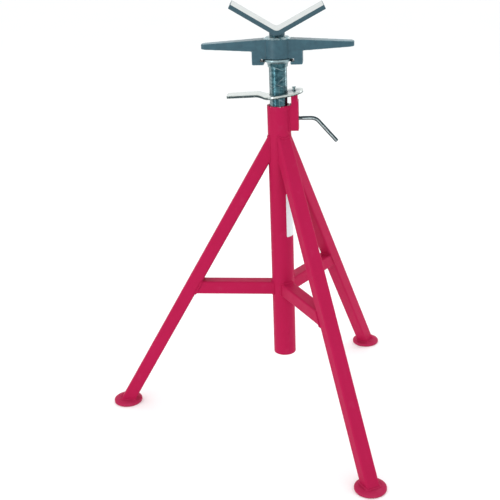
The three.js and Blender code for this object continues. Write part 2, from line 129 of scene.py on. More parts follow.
def newMaterial(name):
    material = bpy.data.materials.new(name)
    material.use_nodes = True
    tree = material.node_tree
    tree.nodes.clear()
    place = addNode(tree, "ShaderNodeTexCoord").outputs["Object"]
    return material, tree, place


def addSurface(tree, relief, height, settings, links):
    # What each of the object's materials ends in
    strength, depth = relief
    bumps = addNode(tree, "ShaderNodeBump", {
        "Strength": strength, "Distance": depth * mm,
    }, {"Height": height})
    shader = addNode(tree, "ShaderNodeBsdfPrincipled", settings, {**links, "Normal": bumps.outputs[0]})
    addNode(tree, "ShaderNodeOutputMaterial", None, {"Surface": shader.outputs[0]})


# Semi-gloss enamel sprayed on welded steel tube: flat crimson with a faint orange peel
enamel = dict(
    deep="#A61943", light="#AF1A4B", dust="#AE3056", floorDust="#A0506A", bare="#C4CAC9",
    mottle=55, haze=18, peel=1.6, flake=2.6, dryEdge=(0.6, 0.8), dryShare=0.35, flakeEdge=(0.56, 0.6),
    dustHeight=12, dustShare=0.6, relief=(0.35, 0.06), roughness=(0.38, 0.5), sheen=0.04,
)


def crimsonEnamel(name, chipped=False):
    e = enamel
    material, tree, place = newMaterial(name)
    mottle = addNode(tree, "ShaderNodeTexNoise", {
        "Scale": perMm(e["mottle"]), "Detail": 3.0,
    }, {"Vector": place})
    red = addNode(tree, "ShaderNodeMix", {"data_type": "RGBA", 6: e["deep"], 7: e["light"]}, {
        0: mottle.outputs["Fac"],
    })
    haze = addNode(tree, "ShaderNodeTexNoise", {"Scale": perMm(e["haze"]), "Detail": 4.0}, {"Vector": place})
    gloss = addNode(tree, "ShaderNodeMapRange", {
        "From Min": noiseLow, "From Max": noiseHigh, "To Min": e["roughness"][0], "To Max": e["roughness"][1],
    }, {"Value": haze.outputs["Fac"]})
    # A little overspray lies dry on the paint here and there
    dry = addNode(tree, "ShaderNodeMapRange", {
        "From Min": e["dryEdge"][0], "From Max": e["dryEdge"][1], "To Max": e["dryShare"],
    }, {"Value": haze.outputs["Fac"]})
    painted = addNode(tree, "ShaderNodeMix", {"data_type": "RGBA", 7: e["dust"]}, {
        0: dry.outputs[0], 6: red.outputs[2],
    })
    # The feet are dusty from the floor
    height = addNode(tree, "ShaderNodeSeparateXYZ", None, {"Vector": place}).outputs["Z"]
    low = addNode(tree, "ShaderNodeMapRange", {
        "From Min": 0.0, "From Max": e["dustHeight"] * mm, "To Min": e["dustShare"], "To Max": 0.0,
    }, {"Value": height})
    settled = addNode(tree, "ShaderNodeMath", {"operation": "MULTIPLY"}, {
        0: low.outputs[0], 1: haze.outputs["Fac"],
    })
    coat = addNode(tree, "ShaderNodeMix", {"data_type": "RGBA", 7: e["floorDust"]}, {
        0: settled.outputs[0], 6: painted.outputs[2],
    })
    links = {"Base Color": coat.outputs[2], "Roughness": gloss.outputs[0]}
    if chipped:
        flakes = addNode(tree, "ShaderNodeTexNoise", {
            "Scale": perMm(e["flake"]), "Detail": 2.0,
        }, {"Vector": place})
        off = addNode(tree, "ShaderNodeMapRange", {
            "From Min": e["flakeEdge"][0], "From Max": e["flakeEdge"][1],
        }, {"Value": flakes.outputs["Fac"]})
        chips = addNode(tree, "ShaderNodeMix", {"data_type": "RGBA", 7: e["bare"]}, {
            0: off.outputs[0], 6: coat.outputs[2],
        })
        links.update({"Base Color": chips.outputs[2], "Metallic": off.outputs[0]})
    peel = addNode(tree, "ShaderNodeTexNoise", {"Scale": perMm(e["peel"]), "Detail": 1.0}, {"Vector": place})
    addSurface(tree, e["relief"], peel.outputs["Fac"], {"IOR": 1.5, "Specular IOR Level": e["sheen"]}, links)
    return material


# Bright zinc plate on stamped or turned steel: pale, a little blue, with fine rubbed lines. Real ones are
# too fine to show, so they are drawn half a millimetre wide or more
brightZinc = dict(
    pale="#CDCFC6", blue="#9AA8AC", cloud=12, rub=0.5, lay=(0.08, 1.0, 1.0), roughness=(0.2, 0.34),
    relief=(0.25, 0.03),
    # Painted reflection: between the post and the stud, round a middle in line with them, the plate is painted
    # dark as if the dark post were reflected in it
    postReflection=dict(colour="#41575F", middle=22, inner=11, outer=24, share=0.95),
)
# The flange's rim is rubbed by the lugs of the nut
rimZinc = dict(
    pale="#A3B4B6", blue="#6F8B91", cloud=10, rub=0.5, lay=(1.0, 1.0, 0.3), roughness=(0.24, 0.4),
    relief=(0.25, 0.03),
)
# The V is duller, and rubbed along the pipe
pipeRubbedZinc = dict(
    pale="#C2C6C3", blue="#ACB3B3", cloud=24, rub=0.7, lay=(1.0, 0.06, 1.0), roughness=(0.3, 0.44),
    relief=(0.25, 0.03),
)


def distanceFrom(tree, place, axis):
    # How far a point lies from an upright axis
    away = addNode(tree, "ShaderNodeVectorMath", {"operation": "SUBTRACT", 1: axis}, {0: place})
    level = addNode(tree, "ShaderNodeVectorMath", {"operation": "MULTIPLY", 1: (1.0, 1.0, 0.0)}, {
        0: away.outputs[0],
    })
    span = addNode(tree, "ShaderNodeVectorMath", {"operation": "LENGTH"}, {0: level.outputs[0]})
    return span.outputs["Value"]


def zincPlatedSteel(name, plate):
    material, tree, place = newMaterial(name)
    cloud = addNode(tree, "ShaderNodeTexNoise", {
        "Scale": perMm(plate["cloud"]), "Detail": 4.0,
    }, {"Vector": place})
    colour = addNode(tree, "ShaderNodeMix", {"data_type": "RGBA", 6: plate["blue"], 7: plate["pale"]}, {
        0: cloud.outputs["Fac"],
    })
    # Painted reflection of the dark post on the plate beside it
    if "postReflection" in plate:
        postReflection = plate["postReflection"]
        paintedReflection = addNode(tree, "ShaderNodeMapRange", {
            "From Min": postReflection["inner"] * mm, "From Max": postReflection["outer"] * mm,
            "To Min": postReflection["share"], "To Max": 0.0,
        }, {"Value": distanceFrom(tree, place, postAxis + Vector((postReflection["middle"] * mm, 0, 0)))})
        colour = addNode(tree, "ShaderNodeMix", {"data_type": "RGBA", 7: postReflection["colour"]}, {
            0: paintedReflection.outputs[0], 6: colour.outputs[2],
        })
    stretch = addNode(tree, "ShaderNodeMapping", {"Scale": plate["lay"]}, {"Vector": place})
    rub = addNode(tree, "ShaderNodeTexNoise", {"Scale": perMm(plate["rub"]), "Detail": 2.0}, {
        "Vector": stretch.outputs[0],
    })
    gloss = addNode(tree, "ShaderNodeMapRange", {
        "From Min": noiseLow, "From Max": noiseHigh,
        "To Min": plate["roughness"][0], "To Max": plate["roughness"][1],
    }, {"Value": cloud.outputs["Fac"]})
    addSurface(tree, plate["relief"], rub.outputs["Fac"], {"Metallic": 1.0}, {
        "Base Color": colour.outputs[2], "Roughness": gloss.outputs[0],
    })
    return material


# Cold drawn steel under a thin dull plate: dark blue-green, with painted highlights in paler bands along its
# length.
# The lines that the die leaves are too fine to show, so they are drawn about a millimetre wide
# The pale colour and the bands draw a painted highlight: streaks that stand for a light reflected up the post
drawnTube = dict(
    dark="#233E46", mid="#476B73", light="#ACBFC0", scratch="#B9C6C7",
    band=8, seed=3.1, line=1.1, cloud=9, scuff=5.5, along=(1.0, 1.0, 0.015), aroundIt=(0.45, 0.45, 1.6),
    tone=(0.17, 0.36), bandHighlight=(0.48, 0.7), wear=(0.35, 0.65), leastHighlight=0.45, relief=(0.3, 0.05),
    scratchWidth=1.7, scratchLength=24, scratchEdge=(0.68, 0.75), scratchShare=0.5, roughness=(0.2, 0.38),
    scratches=((24, 6.3, 9), (-40, 5.5, -8)),  # slant in degrees, seed, and how far up it is moved
)


def drawnSteel():
    d = drawnTube
    material, tree, place = newMaterial("drawnSteel")
    along = addNode(tree, "ShaderNodeMapping", {"Scale": d["along"]}, {"Vector": place})
    highlightBands = addNode(tree, "ShaderNodeTexNoise", {
        "noise_dimensions": "4D", "W": d["seed"], "Scale": perMm(d["band"]), "Detail": 1.0,
    }, {"Vector": along.outputs[0]})
    lines = addNode(tree, "ShaderNodeTexNoise", {"Scale": perMm(d["line"]), "Detail": 3.0}, {
        "Vector": along.outputs[0],
    })
    cloud = addNode(tree, "ShaderNodeTexNoise", {
        "Scale": perMm(d["cloud"]), "Detail": 5.0,
    }, {"Vector": place})
    # The lock plate has scuffed it all the way up, in short marks round the post
    around = addNode(tree, "ShaderNodeMapping", {"Scale": d["aroundIt"]}, {"Vector": place})
    scuffs = addNode(tree, "ShaderNodeTexNoise", {"Scale": perMm(d["scuff"]), "Detail": 3.0}, {
        "Vector": around.outputs[0],
    })
    both = addNode(tree, "ShaderNodeMath", {"operation": "MULTIPLY"}, {
        0: scuffs.outputs["Fac"], 1: cloud.outputs["Fac"],
    })
    tone = addNode(tree, "ShaderNodeMapRange", {
        "From Min": d["tone"][0], "From Max": d["tone"][1],
    }, {"Value": both.outputs[0]})
    dull = addNode(tree, "ShaderNodeMix", {
        "data_type": "RGBA", 6: d["dark"], 7: d["mid"],
    }, {0: tone.outputs[0]})
    # Painted highlight: paler bands up the post where a light would be reflected, dimmed where it is scuffed
    bandHighlight = addNode(tree, "ShaderNodeMapRange", {
        "From Min": d["bandHighlight"][0], "From Max": d["bandHighlight"][1],
    }, {"Value": highlightBands.outputs["Fac"]})
    wornAndLit = addNode(tree, "ShaderNodeMapRange", {
        "From Min": d["wear"][0], "From Max": d["wear"][1], "To Min": d["leastHighlight"],
    }, {"Value": scuffs.outputs["Fac"]})
    bright = addNode(tree, "ShaderNodeMath", {"operation": "MULTIPLY"}, {
        0: bandHighlight.outputs[0], 1: wornAndLit.outputs[0],
    })
    colour = addNode(tree, "ShaderNodeMix", {"data_type": "RGBA", 7: d["light"]}, {
        0: bright.outputs[0], 6: dull.outputs[2],
    })
    # Thin slanting scratches; where two sets cross, the stronger one shows
    marks = None
    for slant, seed, rise in d["scratches"]:
        slope = addNode(tree, "ShaderNodeMapping", {
            "vector_type": "TEXTURE", "Location": (0.0, 0.0, rise * mm),
            "Rotation": (0.0, radians(slant), 0.0), "Scale": (d["scratchLength"], d["scratchLength"], 1.0),
        }, {"Vector": place})
        streak = addNode(tree, "ShaderNodeTexNoise", {
            "noise_dimensions": "4D", "W": seed, "Scale": perMm(d["scratchWidth"]), "Detail": 1.0,
        }, {"Vector": slope.outputs[0]})
        thin = addNode(tree, "ShaderNodeMapRange", {
            "From Min": d["scratchEdge"][0], "From Max": d["scratchEdge"][1], "To Max": d["scratchShare"],
        }, {"Value": streak.outputs["Fac"]})
        marks = thin if marks is None else addNode(tree, "ShaderNodeMath", {"operation": "MAXIMUM"}, {
            0: marks.outputs[0], 1: thin.outputs[0],
        })
    scratched = addNode(tree, "ShaderNodeMix", {"data_type": "RGBA", 7: d["scratch"]}, {
        0: marks.outputs[0], 6: colour.outputs[2],
    })
    gloss = addNode(tree, "ShaderNodeMapRange", {
        "From Min": noiseLow, "From Max": noiseHigh, "To Min": d["roughness"][0], "To Max": d["roughness"][1],
    }, {"Value": cloud.outputs["Fac"]})
    addSurface(tree, d["relief"], lines.outputs["Fac"], {"Metallic": 1.0}, {
        "Base Color": scratched.outputs[2], "Roughness": gloss.outputs[0],
    })
    return material


# Drawn steel rod, bent cold: dark, with a painted highlight along both sides of the upright plane that it lies
# in
bentRod = dict(
    dark="#1B2F36", bright="#B4BFC0", highlightEdge=(3.2, 3.75), streak=2.5, wander=1.2,
    relief=(0.2, 0.03), roughness=0.24,
)


def drawnRod():
    b = bentRod
    material, tree, place = newMaterial("drawnRod")
    across = addNode(tree, "ShaderNodeSeparateXYZ", None, {"Vector": place}).outputs["Y"]
    offSide = addNode(tree, "ShaderNodeMath", {"operation": "ABSOLUTE"}, {0: across})
    streak = addNode(tree, "ShaderNodeTexNoise", {
        "Scale": perMm(b["streak"]), "Detail": 3.0,
    }, {"Vector": place})
    wander = addNode(tree, "ShaderNodeMath", {
        "operation": "MULTIPLY_ADD", 1: b["wander"] * mm, 2: -b["wander"] / 2 * mm,
    }, {0: streak.outputs["Fac"]})
    edge = addNode(tree, "ShaderNodeMath", {"operation": "ADD"}, {
        0: offSide.outputs[0], 1: wander.outputs[0],
    })
    # Painted highlight: the rod turns bright towards its front and its back
    paintedLight = addNode(tree, "ShaderNodeMapRange", {
        "From Min": b["highlightEdge"][0] * mm, "From Max": b["highlightEdge"][1] * mm,
    }, {"Value": edge.outputs[0]})
    colour = addNode(tree, "ShaderNodeMix", {"data_type": "RGBA", 6: b["dark"], 7: b["bright"]}, {
        0: paintedLight.outputs[0],
    })
    addSurface(tree, b["relief"], streak.outputs["Fac"], {"Metallic": 1.0, "Roughness": b["roughness"]}, {
        "Base Color": colour.outputs[2],
    })
    return material


# Slate blue paint over sand-cast iron: satin, with the grain of the mould still showing. The grain is drawn
# coarser than foundry sand, or it wouldn't show
castPaint = dict(
    # The pale colour also paints light on edges and upward faces, and the darkest one paints shade in creases
    deep="#1F404D", light="#365F6C", wornAndLit="#7C9DA6", creaseShade="#12272F",
    mottle=9, grain=1.0, pit=3.2, ragged=0.06, roughness=(0.34, 0.5), sheen=0.4, relief=(0.5, 0.18),
    ridge=(0.52, 0.58), ridgeShare=0.8, upward=(0.75, 0.95), upwardShare=0.5,
    hollow=(0.455, 0.498), hollowShare=0.9,
)


def paintedCastIron():
    c = castPaint
    material, tree, place = newMaterial("paintedCastIron")
    mottle = addNode(tree, "ShaderNodeTexNoise", {
        "Scale": perMm(c["mottle"]), "Detail": 4.0,
    }, {"Vector": place})
    colour = addNode(tree, "ShaderNodeMix", {"data_type": "RGBA", 6: c["deep"], 7: c["light"]}, {
        0: mottle.outputs["Fac"],
    })
    grain = addNode(tree, "ShaderNodeTexNoise", {
        "Scale": perMm(c["grain"]), "Detail": 3.0,
    }, {"Vector": place})
    pits = addNode(tree, "ShaderNodeTexNoise", {"Scale": perMm(c["pit"]), "Detail": 2.0}, {"Vector": place})
    skin = addNode(tree, "ShaderNodeMath", {"operation": "ADD"}, {
        0: grain.outputs["Fac"], 1: pits.outputs["Fac"],
    })
    # The paint is thin on outer edges, where the bare casting shows through; the pale colour there is also a
    # painted highlight along the edges
    geometry = addNode(tree, "ShaderNodeNewGeometry")
    ragged = addNode(tree, "ShaderNodeMath", {
        "operation": "MULTIPLY_ADD", 1: c["ragged"], 2: -c["ragged"] / 2,
    }, {0: pits.outputs["Fac"]})
    ridge = addNode(tree, "ShaderNodeMath", {"operation": "ADD"}, {
        0: geometry.outputs["Pointiness"], 1: ragged.outputs[0],
    })
    chipped = addNode(tree, "ShaderNodeMapRange", {
        "From Min": c["ridge"][0], "From Max": c["ridge"][1], "To Max": c["ridgeShare"],
    }, {"Value": ridge.outputs[0]})
    # Painted light: the faces that look up are painted paler, as if lit from above
    up = addNode(tree, "ShaderNodeSeparateXYZ", None, {"Vector": geometry.outputs["Normal"]}).outputs["Z"]
    paintedLight = addNode(tree, "ShaderNodeMapRange", {
        "From Min": c["upward"][0], "From Max": c["upward"][1], "To Max": c["upwardShare"],
    }, {"Value": up})
    # The pale colour stands both for the thinned paint on edges and for the painted light on faces that look
    # up
    bare = addNode(tree, "ShaderNodeMath", {"operation": "MAXIMUM"}, {
        0: chipped.outputs[0], 1: paintedLight.outputs[0],
    })
    thinnedAndLit = addNode(tree, "ShaderNodeMix", {"data_type": "RGBA", 7: c["wornAndLit"]}, {
        0: bare.outputs[0], 6: colour.outputs[2],
    })
    # Painted shade: inner corners are painted dark, as if shade fell there
    inner = addNode(tree, "ShaderNodeMapRange", {
        "From Min": c["hollow"][0], "From Max": c["hollow"][1], "To Min": c["hollowShare"], "To Max": 0.0,
    }, {"Value": geometry.outputs["Pointiness"]})
    coat = addNode(tree, "ShaderNodeMix", {"data_type": "RGBA", 7: c["creaseShade"]}, {
        0: inner.outputs[0], 6: thinnedAndLit.outputs[2],
    })
    gloss = addNode(tree, "ShaderNodeMapRange", {
        "From Min": noiseLow, "From Max": noiseHigh, "To Min": c["roughness"][0], "To Max": c["roughness"][1],
    }, {"Value": grain.outputs["Fac"]})
    addSurface(tree, c["relief"], skin.outputs[0], {"IOR": 1.5, "Specular IOR Level": c["sheen"]}, {
        "Base Color": coat.outputs[2], "Roughness": gloss.outputs[0],
    })
    return material


# Turned face on the casting's crown, where the collar turns on it: bare, with rings round the axis, drawn
# coarser than a lathe leaves them so that they show
turnedFace = dict(
    pale="#C0D1D5", dull="#6C8E97", ring=1.2, blotch=5, blotchEdge=(0.35, 0.6), relief=(0.4, 0.05),
    metal=0.85, roughness=0.34,
)


def turnedIron():
    t = turnedFace
    material, tree, place = newMaterial("turnedIron")
    rings = addNode(tree, "ShaderNodeTexNoise", {
        "noise_dimensions": "1D", "Scale": perMm(t["ring"]), "Detail": 2.0,
    }, {"W": distanceFrom(tree, place, postAxis)})
    blotches = addNode(tree, "ShaderNodeTexNoise", {
        "Scale": perMm(t["blotch"]), "Detail": 3.0,
    }, {"Vector": place})
    bare = addNode(tree, "ShaderNodeMapRange", {
        "From Min": t["blotchEdge"][0], "From Max": t["blotchEdge"][1],
    }, {"Value": blotches.outputs["Fac"]})
    colour = addNode(tree, "ShaderNodeMix", {
        "data_type": "RGBA", 6: t["dull"], 7: t["pale"],
    }, {0: bare.outputs[0]})
    addSurface(tree, t["relief"], rings.outputs["Fac"], {
        "Metallic": t["metal"], "Roughness": t["roughness"],
    }, {"Base Color": colour.outputs[2]})
    return material


# Sheared edges of thick plate: dull blue-grey steel with upright shear lines
shearedSteel = dict(
    deep="#2C4752", pale="#46616B", grain=0.9, lay=(1.0, 1.0, 0.2), edge=(0.0, 1.0), relief=(0.3, 0.06),
    shader={"Metallic": 0.6, "Roughness": 0.5},
)
# Punched edge of the lock plate: torn and dull, with pale specks of plate; its dark colour is also painted
# shade
tornAndShadedSteel = dict(
    deep="#2A3A3E", pale="#98A09A", grain=1.6, lay=(1.0, 1.0, 1.0), edge=(0.56, 0.66), relief=(0.6, 0.2),
    shader={"Metallic": 0.7, "Roughness": 0.5},
)
# Uncoated paper sticker: matt white, with a faint fibre, drawn coarser than a real one so that it shows
whitePaper = dict(
    deep="#D3DADC", pale="#E2E7E8", grain=0.7, lay=(1.0, 1.0, 1.0), edge=(0.0, 1.0), relief=(0.2, 0.03),
    shader={"Roughness": 0.72, "IOR": 1.45},
)


def grainedSurface(name, finish):
    material, tree, place = newMaterial(name)
    stretch = addNode(tree, "ShaderNodeMapping", {"Scale": finish["lay"]}, {"Vector": place})
    grain = addNode(tree, "ShaderNodeTexNoise", {"Scale": perMm(finish["grain"]), "Detail": 3.0}, {
        "Vector": stretch.outputs[0],
    })
    specks = addNode(tree, "ShaderNodeMapRange", {
        "From Min": finish["edge"][0], "From Max": finish["edge"][1],
    }, {"Value": grain.outputs["Fac"]})
    colour = addNode(tree, "ShaderNodeMix", {"data_type": "RGBA", 6: finish["deep"], 7: finish["pale"]}, {
        0: specks.outputs[0],
    })
    addSurface(tree, finish["relief"], grain.outputs["Fac"], finish["shader"], {
        "Base Color": colour.outputs[2],
    })
    return material


enamelRed = crimsonEnamel("crimsonEnamel")
chippedRed = crimsonEnamel("chippedEnamel", chipped=True)
zinc = zincPlatedSteel("brightZinc", brightZinc)
saddleZinc = zincPlatedSteel("pipeRubbedZinc", pipeRubbedZinc)
flangeZinc = zincPlatedSteel("rimZinc", rimZinc)
tubeSteel = drawnSteel()
rodSteel = drawnRod()
castIron = paintedCastIron()
crownIron = turnedIron()
edgeSteel = grainedSurface("shearedSteel", shearedSteel)
tornAndShadedPlate = grainedSurface("tornAndShadedSteel", tornAndShadedSteel)
paper = grainedSurface("whitePaper", whitePaper)
print("materials ready")


# Mesh helpers

def circleAngles(sides):
    return [tau * i / sides for i in range(sides)]


def arcPoints(radius, start, sweep, steps, centre=(0, 0)):
    angles = [start + sweep * i / steps for i in range(steps + 1)]
    return [Vector((centre[0] + radius * cos(a), centre[1] + radius * sin(a))) for a in angles]


def curvePoints(start, corner, end, steps):
    # From start to end, pulled towards the corner
    shares = [i / steps for i in range(steps + 1)]
    return [start.lerp(corner, t).lerp(corner.lerp(end, t), t) for t in shares]


def roundedOutline(corners, radius=0.0, steps=4, closed=True):
    # A corner is (x, y), or (x, y, its own radius)
    points = []
    count = len(corners)
    for i, corner in enumerate(corners):
        here = Vector(corner[:2])
        size = corner[2] if len(corner) > 2 else radius
        if size == 0 or (not closed and i in (0, count - 1)):
            points.append(here)
            continue
        before = Vector(corners[i - 1][:2]) - here
        after = Vector(corners[(i + 1) % count][:2]) - here
        half = before.angle(after) / 2
        longest = 0.49 * min(before.length, after.length)  # so that two arcs on a side never meet
        reach = min(size / tan(half), longest)
        centre = here + (before.normalized() + after.normalized()).normalized() * reach / cos(half)
        first = here + before.normalized() * reach - centre
        last = here + after.normalized() * reach - centre
        start = atan2(first.y, first.x)
        sweep = (atan2(last.y, last.x) - start + pi) % tau - pi
        points += arcPoints(first.length, start, sweep, steps, centre)
    return points


def splitLong(points, longest):
    # Adds points on the straight sides of a closed outline
    result = []
    for here, after in zip(points, points[1:] + points[:1]):
        parts = max(1, round((after - here).length / longest))
        result += [here.lerp(after, i / parts) for i in range(parts)]
    return result


def bridge(bm, ringA, ringB):
    # Faces between two rings; a ring of one point closes the other to a tip
    for i in range(max(len(ringA), len(ringB))):
        corners = [ringA[i % len(ringA)], ringA[(i + 1) % len(ringA)]]
        corners += [ringB[(i + 1) % len(ringB)], ringB[i % len(ringB)]]
        corners = list(dict.fromkeys(corners))
        if len(corners) > 2:
            bm.faces.new(corners)


def addRings(bm, rings, closed=False, capped=False):
    made = [[bm.verts.new(point) for point in ring] for ring in rings]
    following = made[1:] + (made[:1] if closed else [])
    for ringA, ringB in zip(made, following):
        bridge(bm, ringA, ringB)
    if capped:
        bm.faces.new(made[0])
        bm.faces.new(made[-1])
    return made


def addLathe(bm, profile, sides, closed=False, centre=(0, 0)):
    # profile holds (radius, z); a closed one is a ring, an open one starts and ends on the axis
    rings = []
    for radius, z in profile:
        if radius < samePoint:
            rings.append([(*centre, z)])
        else:
            turns = circleAngles(sides)
            rings.append([(centre[0] + radius * cos(a), centre[1] + radius * sin(a), z) for a in turns])
    addRings(bm, rings, closed)


def addPrism(bm, outline, low, high, toPlace):
    # A closed outline of (u, v) between two depths, with its ends filled
    addRings(bm, [[toPlace(u, v, depth) for u, v in outline] for depth in (low, high)], capped=True)


def addSheet(bm, loops, cuts):
    # A flat sheet with holes at z = 0, cut across at each x of the cuts so that it can bend there
    edges = []
    for loop in loops:
        made = [bm.verts.new((*point, 0)) for point in loop]
        edges += [bm.edges.new(pair) for pair in zip(made, made[1:] + made[:1])]
    bmesh.ops.triangle_fill(bm, edges=edges, use_beauty=True)
    for x in cuts:
        geometry = bm.verts[:] + bm.edges[:] + bm.faces[:]
        bmesh.ops.bisect_plane(bm, geom=geometry, plane_co=(x, 0, 0), plane_no=(1, 0, 0))


def addSweep(bm, path, radiusAt, sides, closed=False):
    # A round section carried along a path without twisting
    count = len(path)
    axes = []
    for i in range(count):
        if closed:
            axes.append((path[(i + 1) % count] - path[i - 1]).normalized())
        else:
            axes.append((path[min(i + 1, count - 1)] - path[max(i - 1, 0)]).normalized())
    side = axes[0].orthogonal().normalized()
    rings = []
    for i, axis in enumerate(axes):
        side = (side - axis * side.dot(axis)).normalized()
        other = axis.cross(side)
        radius = radiusAt(i)
        rings.append([path[i] + radius * (side * cos(a) + other * sin(a)) for a in circleAngles(sides)])
    made = addRings(bm, rings, capped=not closed)
    if closed:
        # The section has turned on its way round, so the last ring meets the first at its nearest corner
        turn = min(range(sides), key=lambda k: (made[0][k].co - made[-1][0].co).length)
        bridge(bm, made[-1], made[0][turn:] + made[0][:turn])
    return made


def softenEdges(bm, width, segments=3, angle=40, slot=-1):
    # The rounded strips take the material of a neighbour, or of one slot
    sharp = [e for e in bm.edges if e.is_manifold and e.calc_face_angle(0) > radians(angle)]
    bmesh.ops.bevel(
        bm, geom=sharp, offset=width, segments=segments, profile=0.5, affect="EDGES", clamp_overlap=True,
        material=slot,
    )


def addMesh(name, bm):
    mesh = bpy.data.meshes.new(name)
    bm.to_mesh(mesh)
    bm.free()
    return addObject(name, mesh)


def keepFacesFlat(piece):
    # Wide faces stay flat beside their rounded edges
    weighted = piece.modifiers.new("flatFaces", "WEIGHTED_NORMAL")
    weighted.keep_sharp = True


def makePiece(name, bm, material, body, nodes=(), sharpAngle=32, flatShare=True):
    bmesh.ops.recalc_face_normals(bm, faces=bm.faces)
    bmesh.ops.translate(bm, verts=bm.verts, vec=postAxis)
    for face in bm.faces:
        face.smooth = True
    for edge in bm.edges:
        edge.smooth = edge.is_manifold and edge.calc_face_angle(0) < radians(sharpAngle)
    piece = addMesh(name, bm)
    piece.data.materials.append(material)
    if flatShare:
        keepFacesFlat(piece)
    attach(piece, body)
    if nodes:
        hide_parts(*nodes)
    return piece


def keepShape(piece):
    # Turns what the modifiers give into the piece's own mesh, and joins points that a cut left together
    shaped = piece.evaluated_get(bpy.context.evaluated_depsgraph_get())
    mesh = bpy.data.meshes.new_from_object(shaped)
    bm = bmesh.new()
    bm.from_mesh(mesh)
    bmesh.ops.remove_doubles(bm, verts=bm.verts, dist=samePoint)
    bmesh.ops.dissolve_degenerate(bm, edges=bm.edges, dist=samePoint)
    bm.to_mesh(mesh)
    bm.free()
    piece.modifiers.clear()
    piece.data = mesh


def cutHole(piece, radius, start, end, sides=40):
    # A round hole from start to end, which are drawn about the post's axis
    length = (end - start).length
    turned = (end - start).to_track_quat("Z", "Y").to_matrix().to_4x4()
    bm = bmesh.new()
    addLathe(bm, [(0, 0), (radius, 0), (radius, length), (0, length)], sides)
    bm.transform(Matrix.Translation(start + postAxis) @ turned)
    bmesh.ops.recalc_face_normals(bm, faces=bm.faces)
    cutter = addMesh("cutter", bm)
    cut = piece.modifiers.new("hole", "BOOLEAN")
    cut.operation = "DIFFERENCE"
    cut.solver = "EXACT"
    cut.object = cutter
    keepShape(piece)
    bpy.data.objects.remove(cutter)


def turnedAboutPost(point, turn):
    return Matrix.Rotation(turn, 3, "Z") @ Vector(point)


# Outer tube of the tripod

outerTube = dict(
    wall=4.75 * mm, rimRound=0.9 * mm, sides=96, bottom=tubeBox[0].z, top=tubeBox[1].z,
    screwHeight=615 * mm, screwHole=4 * mm,
)


def makeOuterTube():
    t = outerTube
    inner = tubeRadius - t["wall"]
    profile = roundedOutline([
        (inner, t["bottom"]), (tubeRadius, t["bottom"]), (tubeRadius, t["top"]), (inner, t["top"]),
    ], t["rimRound"])
    bm = bmesh.new()
    addLathe(bm, profile, t["sides"], closed=True)
    # The post has knocked the paint off the rim here and there
    for face in bm.faces:
        if face.calc_center_median().z > t["top"] - t["rimRound"]:
            face.material_index = 1
    tube = makePiece("outerTube", bm, enamelRed, "tripod", ["outer_tube"], flatShare=False)
    tube.data.materials.append(chippedRed)
    start = Vector((postRadius, 0, t["screwHeight"]))
    cutHole(tube, t["screwHole"], start, start + Vector((t["wall"] + overrun, 0, 0)))


makeOuterTube()


# Legs and braces, all of one square tube

squareTube = dict(side=26.6 * mm, wall=2.6 * mm, corner=3.4 * mm, cornerSteps=6, split=3.5 * mm)
legs = dict(
    reach=344 * mm, crossing=592 * mm,  # where a leg's axis meets the floor and the post's axis
    braceHeight=271 * mm, turns=dict(left=pi, front=-pi / 3, back=pi / 3),
)
pads = dict(
    diameter=59.5 * mm, thickness=8.4 * mm, rim=6.4 * mm, rimRound=2.4 * mm, landing=21.5 * mm,
    landingRound=1.5 * mm, steps=6, sides=96,
)
legSlope = atan2(legs["crossing"], legs["reach"])
padCentre = legs["reach"] - pads["thickness"] / 2 / tan(legSlope)


def legPoint(u, v, run):
    # u is towards the leg's upper side, v sideways and run up along the leg from the floor
    return Vector((
        legs["reach"] + u * sin(legSlope) - run * cos(legSlope), v, u * cos(legSlope) + run * sin(legSlope),
    ))


def legTop(u, v, gap):
    onTube = sqrt((tubeRadius + gap) ** 2 - v ** 2)
    return legPoint(u, v, (legs["reach"] + u * sin(legSlope) - onTube) / cos(legSlope))


def legFoot(u, v, gap):
    return legPoint(u, v, (pads["thickness"] + gap - u * cos(legSlope)) / sin(legSlope))


def braceInner(u, v, gap):
    return Vector((sqrt((tubeRadius + gap) ** 2 - v ** 2), v, legs["braceHeight"] + u))


def braceOuter(u, v, gap):
    z = legs["braceHeight"] + u
    underLeg = squareTube["side"] / 2 + gap
    return Vector((legs["reach"] - (underLeg + z * cos(legSlope)) / sin(legSlope), v, z))


def squareSection(share=1):
    # The outline of the square tube, or at a smaller share that of its hollow
    half = squareTube["side"] / 2
    corners = [(-half, -half), (half, -half), (half, half), (-half, half)]
    outline = roundedOutline(corners, squareTube["corner"], squareTube["cornerSteps"])
    return [point * share for point in splitLong(outline, squareTube["split"])]


def tubeEnd(section, end, gap, turn):
    return [turnedAboutPost(end(u, v, gap), turn) for u, v in section]


def makeSquareTube(name, node, turn, endA, endB):
    # Up the outside and back down the inside, as one closed skin
    outer, inner = squareSection(), squareSection(1 - 2 * squareTube["wall"] / squareTube["side"])
    path = ((outer, endA), (outer, endB), (inner, endB), (inner, endA))
    bm = bmesh.new()
    addRings(bm, [tubeEnd(section, end, seatGap, turn) for section, end in path], closed=True)
    makePiece(name, bm, enamelRed, "tripod", [node], sharpAngle=50)


def makePad(side, turn):
    radius = pads["diameter"] / 2
    profile = roundedOutline([
        (0, 0), (radius, 0, pads["rimRound"]), (radius, pads["rim"], pads["rimRound"]),
        (pads["landing"], pads["thickness"], pads["landingRound"]), (0, pads["thickness"]),
    ], steps=pads["steps"], closed=False)
    bm = bmesh.new()
    addLathe(bm, profile, pads["sides"], centre=turnedAboutPost((padCentre, 0, 0), turn).xy)
    makePiece(f"footPad_{side}", bm, enamelRed, "tripod", [f"foot_{side}"])


